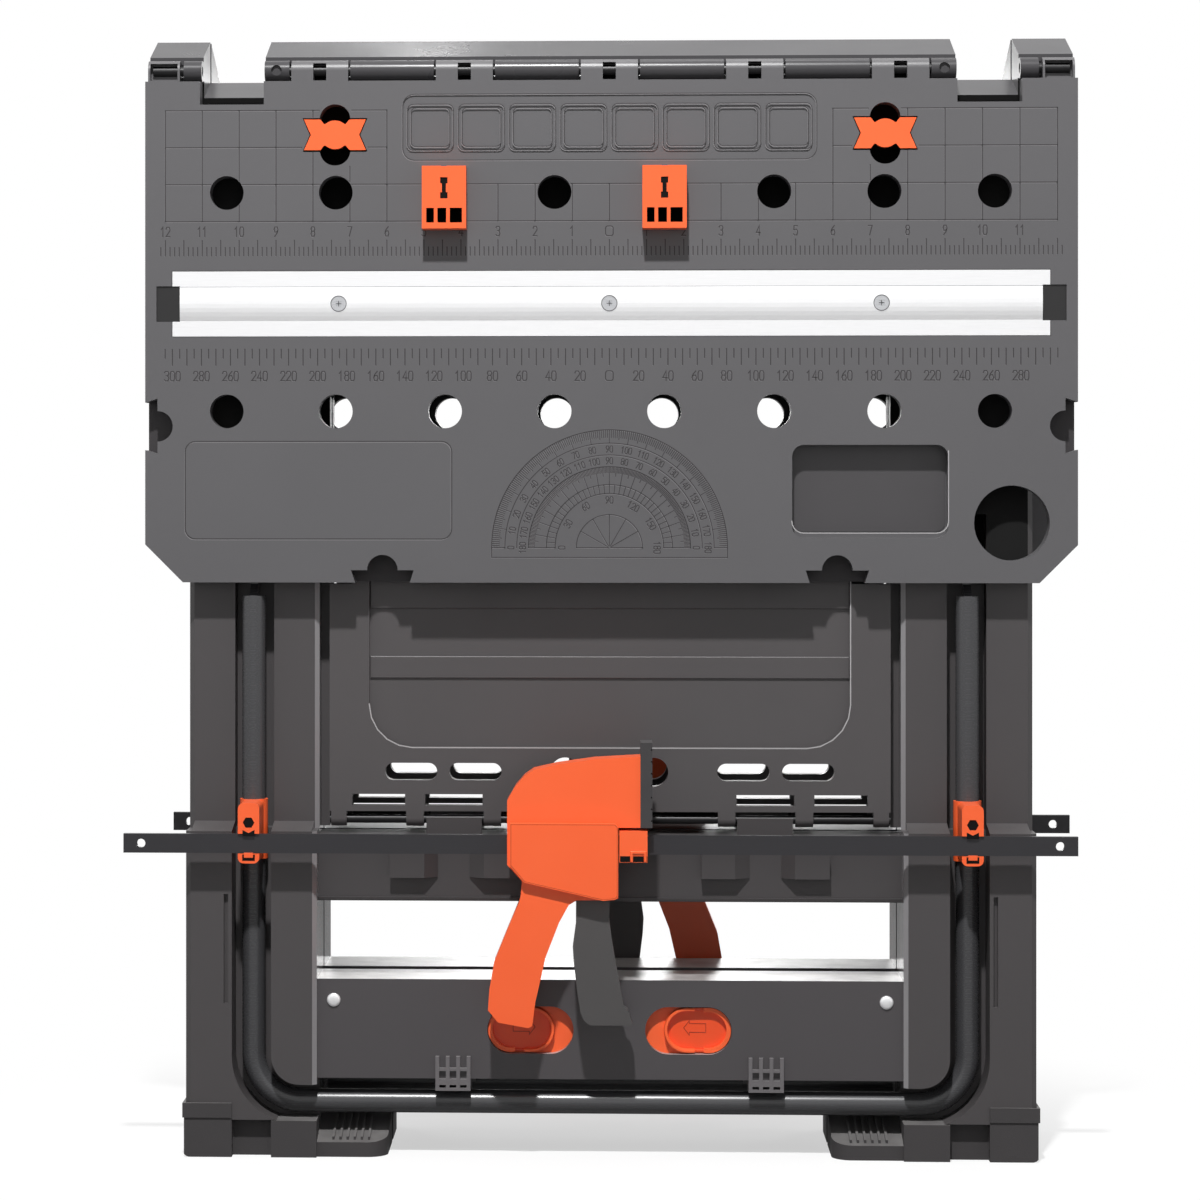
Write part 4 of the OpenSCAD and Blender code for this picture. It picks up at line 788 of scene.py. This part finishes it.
add_pair("dog_recess_shade_lining", bm, shade_lining, "panel")

# Hole sleeves: painted shade. Each dog hole has a thin black sleeve for the deep
# shade inside it, reaching from near the panel's back to just short of its face.
PANEL_BACK = -0.0435
SLEEVE_SIDES, SLEEVE_RADIUS, SLEEVE_MOUTH, SLEEVE_SHORT = 40, 12.0, 0.0006, 0.0002
bm = bmesh.new()
for _, x, z, _, _ in hole_spots:
    near, far = [], []
    for k in range(SLEEVE_SIDES):
        a = math.tau * k / SLEEVE_SIDES
        px, pz = (x + SLEEVE_RADIUS * math.cos(a)) / MM, (z + SLEEVE_RADIUS * math.sin(a)) / MM
        near.append(bm.verts.new((px, face_y + SLEEVE_MOUTH, pz)))
        far.append(bm.verts.new((px, PANEL_BACK - SLEEVE_SHORT, pz)))
    for k in range(SLEEVE_SIDES):
        bm.faces.new((near[k], near[k - 1], far[k - 1], far[k]))
add_pair("hole_shade_sleeves", bm, shade_lining, "panel")

# Screw bin. A darker, smoother plate on its floor is painted shade in the bin, and a
# pale ribbon along its lower edge is a painted highlight.
TRAY_X, TRAY_Z, TRAY_W, TRAY_H = 177.75, 459.4, 106.1, 63.6
PLATE_GAP, PLATE_TOP, PLATE_FOOT = 1.2, 0.0130, 0.0134
LINE_PROUD = 0.00006
tray_shade = moulded("tray_floor", "#474547", "#3f3d3f", rough=0.4, dust_and_sheen=0.02)
lip_highlight = flat_finish("lip_highlight", "#a9a7a8", rough=0.4)
bm = bmesh.new()
ring = soft_frame(TRAY_X, TRAY_Z, TRAY_W - PLATE_GAP, TRAY_H - PLATE_GAP, 7)[:-1]
upper = [bm.verts.new((x / MM, face_y + PLATE_TOP, z / MM)) for x, z in ring]
under = [bm.verts.new((x / MM, face_y + PLATE_FOOT, z / MM)) for x, z in ring]
bm.faces.new(upper)
bm.faces.new(list(reversed(under)))
for k in range(len(ring)):
    bm.faces.new((upper[k - 1], upper[k], under[k], under[k - 1]))
add_pair("tray_floor", bm, tray_shade, "panel")
LOWER_HALF = 12
tray_rim = soft_frame(TRAY_X, TRAY_Z, TRAY_W + 0.4, TRAY_H + 0.4, 8)
lay_lines("tray_lip", [tray_rim[LOWER_HALF:]], 0.7, face_y - LINE_PROUD, lip_highlight,
          "panel")

# Notch plates: painted shade. A dark plate behind the panel's edge closes each clamp notch,
# one at each side and two along the lower edge, for the shade inside the notch.
notch_dark = moulded("notch_plate", "#2c292b", "#262325", rough=0.6, dust_and_sheen=0.02)
SIDE_NOTCH_X, SIDE_NOTCH_UP, SIDE_NOTCH_HALF = (0.2985, 0.3182), 0.1071, 0.0195
FOOT_NOTCH_X, FOOT_NOTCH_Z = (0.1340, 0.1770), (0.0006, 0.0190)
panel_foot_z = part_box("front_panel")[0][2]
side_notch_z = panel_foot_z + SIDE_NOTCH_UP
side_notch = (side_notch_z - SIDE_NOTCH_HALF, side_notch_z + SIDE_NOTCH_HALF)
foot_notch = [panel_foot_z + z for z in FOOT_NOTCH_Z]
plate_depth = (PANEL_BACK + 0.0002, PANEL_BACK + 0.0014)
bm = bmesh.new()
for s in (-1, 1):
    for reach, height in ((SIDE_NOTCH_X, side_notch), (FOOT_NOTCH_X, foot_notch)):
        slab(bm, sorted(s * x for x in reach), plate_depth, height)
add_pair("notch_plates", bm, notch_dark, "panel")

# Shelf halves. The same nylon as the beams, in a little lighter grey, on a rod of
# their own. Low ledges stiffen the basin's floor, and a pale ribbon along its lower rim is a
# painted highlight.
SHELF_FACE, BASIN_FLOOR, BASIN_HALF = -0.036, -0.031, 0.1656
BASIN_Z, BASIN_HEIGHT, BASIN_CORNER = 353.5, 149.8, 30
LEDGES = ((0.3264, 0.3417, 0.0014), (0.3747, 0.4270, 0.0020))
shelf_finish = moulded("shelf_nylon", "#4e4b4c", "#474445", rough=0.42)
for half in HALVES:
    dress(f"{half}_shelf", shelf_finish, edge=0.0008)
bm = bmesh.new()
for low, high, proud in LEDGES:
    slab(bm, (-BASIN_HALF, BASIN_HALF), (BASIN_FLOOR - proud, BASIN_FLOOR + 0.0002), (low, high))
add_pair("shelf_ledges", bm, shelf_finish, "shelf", soften=0.0006)
basin_rim = soft_frame(0, BASIN_Z, 2 * BASIN_HALF * MM + 0.8, BASIN_HEIGHT, BASIN_CORNER)
lay_lines("basin_lip", [basin_rim[LOWER_HALF:]], 0.8, SHELF_FACE - LINE_PROUD, lip_highlight,
          "shelf")

# Stretcher bolts. Two domed bolts with bright zinc heads close each lower
# stretcher at its ends.
BOLT_X, BOLT_Z, BOLT_SIDES = 0.189, 0.107, 24
BOLT_DOME = ((0.0047, 0.0), (0.0046, 0.0007), (0.0040, 0.0013), (0.0027, 0.0017), (0.0012, 0.00185))
bolt_zinc = metal("bolt_zinc", "#f1f1f2", 0.35, metallic=0.4)
stretcher_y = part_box("front_stretcher")[0][1]
bm = bmesh.new()
for x0 in (-BOLT_X, BOLT_X):
    rows = []
    for r, out in BOLT_DOME:
        rows.append([bm.verts.new((x0 + r * math.cos(math.tau * k / BOLT_SIDES), stretcher_y - out,
                                   BOLT_Z + r * math.sin(math.tau * k / BOLT_SIDES)))
                     for k in range(BOLT_SIDES)])
    for a, b in zip(rows, rows[1:]):
        for k in range(BOLT_SIDES):
            bm.faces.new((a[k], a[k - 1], b[k - 1], b[k]))
    bm.faces.new(rows[-1])
for f in bm.faces:
    f.smooth = True
add_pair("stretcher_bolts", bm, bolt_zinc, "frame")

# Rail and end caps. A satin extruded aluminium rail let into the panel, held
# by three cross-head screws, with black caps at its ends.
satin = metal("satin_aluminium", "#fdfdfe", 0.32, metallic=0.6)
cap_finish = moulded("cap_nylon", "#121112", "#0e0d0e", rough=0.5)
step_shade_grey = flat_finish("rail_step_shade", "#8f8f93", rough=0.4)
screw_grey = flat_finish("screw_edge", "#4b4b4e", rough=0.4)
for half in HALVES:
    dress(f"{half}_rail", satin)
    dress(f"{half}_rail_caps", cap_finish, edge=0.0008)
SCREW_PITCH, SCREW_RADIUS, SCREW_CROSS = 185.5, 5.3, 1.7
JOINT_INSET, JOINT_RISE = 5, 11.5
rail_low, rail_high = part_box("front_rail")
rail_mid = (rail_low[2] + rail_high[2]) / 2 * MM
joint_end, joint_z = rail_high[0] * MM - JOINT_INSET, rail_mid + JOINT_RISE
# A grey line along the top of the rail's band is painted shade under its small step.
lay_lines("rail_step_shade", [[(-joint_end, joint_z), (joint_end, joint_z)]], 0.5, face_y + 0.0001,
          step_shade_grey, "panel")
screws = []
for x in (-SCREW_PITCH, 0.0, SCREW_PITCH):
    screws.append(arc_run(x, rail_mid, SCREW_RADIUS, 0, 360, 36))
    screws.append([(x - SCREW_CROSS, rail_mid), (x + SCREW_CROSS, rail_mid)])
    screws.append([(x, rail_mid - SCREW_CROSS), (x, rail_mid + SCREW_CROSS)])
lay_lines("screw_edges", screws, 0.45, rail_low[1] - LINE_PROUD, screw_grey,
          "panel")

# Orange pieces: jaws, bow-tie dogs, latches, bar clips, clamp bodies and the
# release levers, all in smooth bright orange nylon, and the dark trigger.
orange = moulded("orange_nylon", "#ff6b3a", "#f9622f", rough=0.36, pit=0.6, bump=0.05, dust_and_sheen=0.03)
trigger_finish = moulded("trigger_nylon", "#4a4848", "#444242")
for half in HALVES:
    for bit in ("latch_left", "latch_right", "dog_left", "dog_right", "bar_clips", "clamp_body",
                "clamp_cover", "clamp_release"):
        dress(f"{half}_{bit}", orange, edge=0.0008)
    dress(f"{half}_clamp_trigger", trigger_finish, edge=0.0008)
for side in ("left", "right"):
    dress(f"jaw_{side}", orange, edge=0.0006)

# Latch buttons. A low oval rim with a higher thumb lip at its inner end stands on
# each slider, round a pocket with a moulded arrow that shows the way to push.
LATCH_FACE, LATCH_X, LATCH_Z = -0.0518, 60.4, 87.0
RIB_ROOT, RIB_CREST = 0.0004, 0.6
SIDES = (("right", 1), ("left", -1))


def raised_rib(bm, run, width, foot, crest):
    """Builds a rib with a slimmer crest along a run, from the face at foot out to crest."""
    (low, closed), (high, _) = edge_pairs(run, width), edge_pairs(run, width * RIB_CREST)
    rows = [[bm.verts.new((q.x / MM, y, q.y / MM)) for q, y in
             ((a[0], foot), (b[0], crest), (b[1], crest), (a[1], foot))] for a, b in zip(low, high)]
    for k in range(len(rows) if closed else len(rows) - 1):
        a, b = rows[k], rows[(k + 1) % len(rows)]
        for i in range(4):
            bm.faces.new((a[i], b[i], b[(i + 1) % 4], a[(i + 1) % 4]))
    if not closed:
        bm.faces.new(rows[0])
        bm.faces.new(rows[-1])


def add_ribs(name, ribs, finish, body, sign=1, plates=(), soften=0.0):
    """Ribs and flat plates as one piece for both halves; sign -1 mirrors them."""
    bm = bmesh.new()
    for run, width, foot, crest in ribs:
        raised_rib(bm, [(sign * x, z) for x, z in run], width, foot, crest)
    for outline, y_back, y_front in plates:
        back, front = ([bm.verts.new((sign * x / MM, y, z / MM)) for x, z in outline]
                       for y in (y_back, y_front))
        bm.faces.new(front)
        bm.faces.new(back)
        for k in range(len(outline)):
            bm.faces.new((front[k - 1], front[k], back[k], back[k - 1]))
    add_pair(name, bm, finish, body, soften=soften)


# The darker orange of the pocket is painted shade; the rim is in the same darker orange.
pocket_orange = moulded("pocket_orange", "#ef5529", "#e64d22", rough=0.32, pit=0.6, bump=0.04,
                        dust_and_sheen=0.02)
arrow_red = flat_finish("arrow_red", "#9c2d12", rough=0.5)
OVAL_WIDTH, OVAL_HEIGHT, OVAL_CORNER, POCKET_IN = 43.4, 28.6, 14.2, 1
oval = soft_frame(LATCH_X, LATCH_Z, OVAL_WIDTH, OVAL_HEIGHT, OVAL_CORNER)
pocket = soft_frame(LATCH_X, LATCH_Z, OVAL_WIDTH - 2 * POCKET_IN, OVAL_HEIGHT - 2 * POCKET_IN,
                    OVAL_CORNER - POCKET_IN)[:-1]
LIP_RADIUS, LIP_CENTRE, LIP_END = 14.3, LATCH_X - 7.4, LATCH_X - 3
lip_arc = arc_run(LIP_CENTRE, LATCH_Z, LIP_RADIUS, 90, 270, 22)
lip_arc = [(LIP_END, LATCH_Z + LIP_RADIUS)] + lip_arc + [(LIP_END, LATCH_Z - LIP_RADIUS)]
arrow = [(50.9, 88.2), (54.8, 93.2), (54.8, 91.2), (66.0, 91.2), (66.0, 85.2), (54.8, 85.2),
         (54.8, 83.2), (50.9, 88.2)]
for side, sign in SIDES:
    latch = f"latch_{side}"
    add_ribs(f"latch_rim_{side}", [(oval, 2.4, LATCH_FACE + RIB_ROOT, LATCH_FACE - 0.0018)],
             pocket_orange, latch, sign, soften=0.0002)
    add_ribs(f"latch_lip_{side}", [(lip_arc, 2.9, LATCH_FACE + RIB_ROOT, LATCH_FACE - 0.0048)],
             orange, latch, sign, soften=0.0002)
    add_ribs(f"latch_pocket_{side}", [], pocket_orange, latch, sign,
             [(pocket, LATCH_FACE + 0.0002, LATCH_FACE - 0.0003)])
    add_ribs(f"latch_arrow_{side}", [(arrow, 0.55, LATCH_FACE - 0.0002, LATCH_FACE - 0.0005)],
             arrow_red, latch, sign)

# Faces of the bar clips. A hex socket, a V-cut window above the bar and a small
# catch in a window below it, all moulded through the orange clip; black plates in them are painted
# shade.
CLIP_FACE, CLIP_X, CLIP_Z = -0.084, 245.0, 230.7
PLATE_ROOT, SHADE_PROUD = 0.0002, 0.00008


def on_clip(*points):
    """An outline given from the middle of the clip's socket."""
    return [(CLIP_X + x, CLIP_Z + z) for x, z in points]


hexagon = arc_run(CLIP_X, CLIP_Z, 3.9, 0, 300, 5)
veed = on_clip((-4.1, -4.9), (0, -7.0), (4.1, -4.9), (4.1, -9.2), (-4.1, -9.2))
below = on_clip((-4.3, -21.6), (4.3, -21.6), (4.3, -25.9), (-4.3, -25.9))
catch = on_clip((-3.1, -20.4), (3.1, -20.4), (3.1, -23.8), (-3.1, -23.8))
for side, sign in SIDES:
    add_ribs(f"clip_windows_{side}", [], shade_lining, "tube", sign,
             [(hexagon, CLIP_FACE + 0.0038, CLIP_FACE + 0.0006),
              (veed, CLIP_FACE + PLATE_ROOT, CLIP_FACE - SHADE_PROUD),
              (below, CLIP_FACE + PLATE_ROOT, CLIP_FACE - SHADE_PROUD)])
    add_ribs(f"clip_catch_{side}", [], orange, "tube", sign,
             [(catch, CLIP_FACE + PLATE_ROOT, CLIP_FACE - 0.0006)], soften=0.0002)

# Clamp trim. The side cover has a parting line just inside its edge, and the
# release lever ends in a small n-shaped thumb loop.
parting = flat_finish("parting_shade", "#c4481f", rough=0.5)
cover_run = [(-66.3, 231.3), (3.7, 231.3), (5.3, 229.5), (5.3, 183.4), (4.0, 181.7),
             (-4.2, 180.9), (-57.0, 192.9), (-66.3, 203.7), (-66.3, 231.3)]
lay_lines("cover_parting", [cover_run], 0.45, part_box("front_clamp_cover")[0][1] - 0.00002,
          parting, "clamp")
release_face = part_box("front_clamp_release")[0][1]
shade_box = [(7.2, 206.2), (25.5, 206.2), (25.5, 210.2), (7.2, 210.2)]
add_ribs("thumb_shade", [], shade_lining, "release",
         plates=[(shade_box, release_face + PLATE_ROOT, release_face - SHADE_PROUD)])
loop_run = [(15.0, 207.2), (15.0, 212.6), (24.2, 212.6), (24.2, 207.2)]
add_ribs("thumb_loop", [(loop_run, 2.3, release_face + PLATE_ROOT, release_face - 0.0009)],
         orange, "release", soften=0.0002)
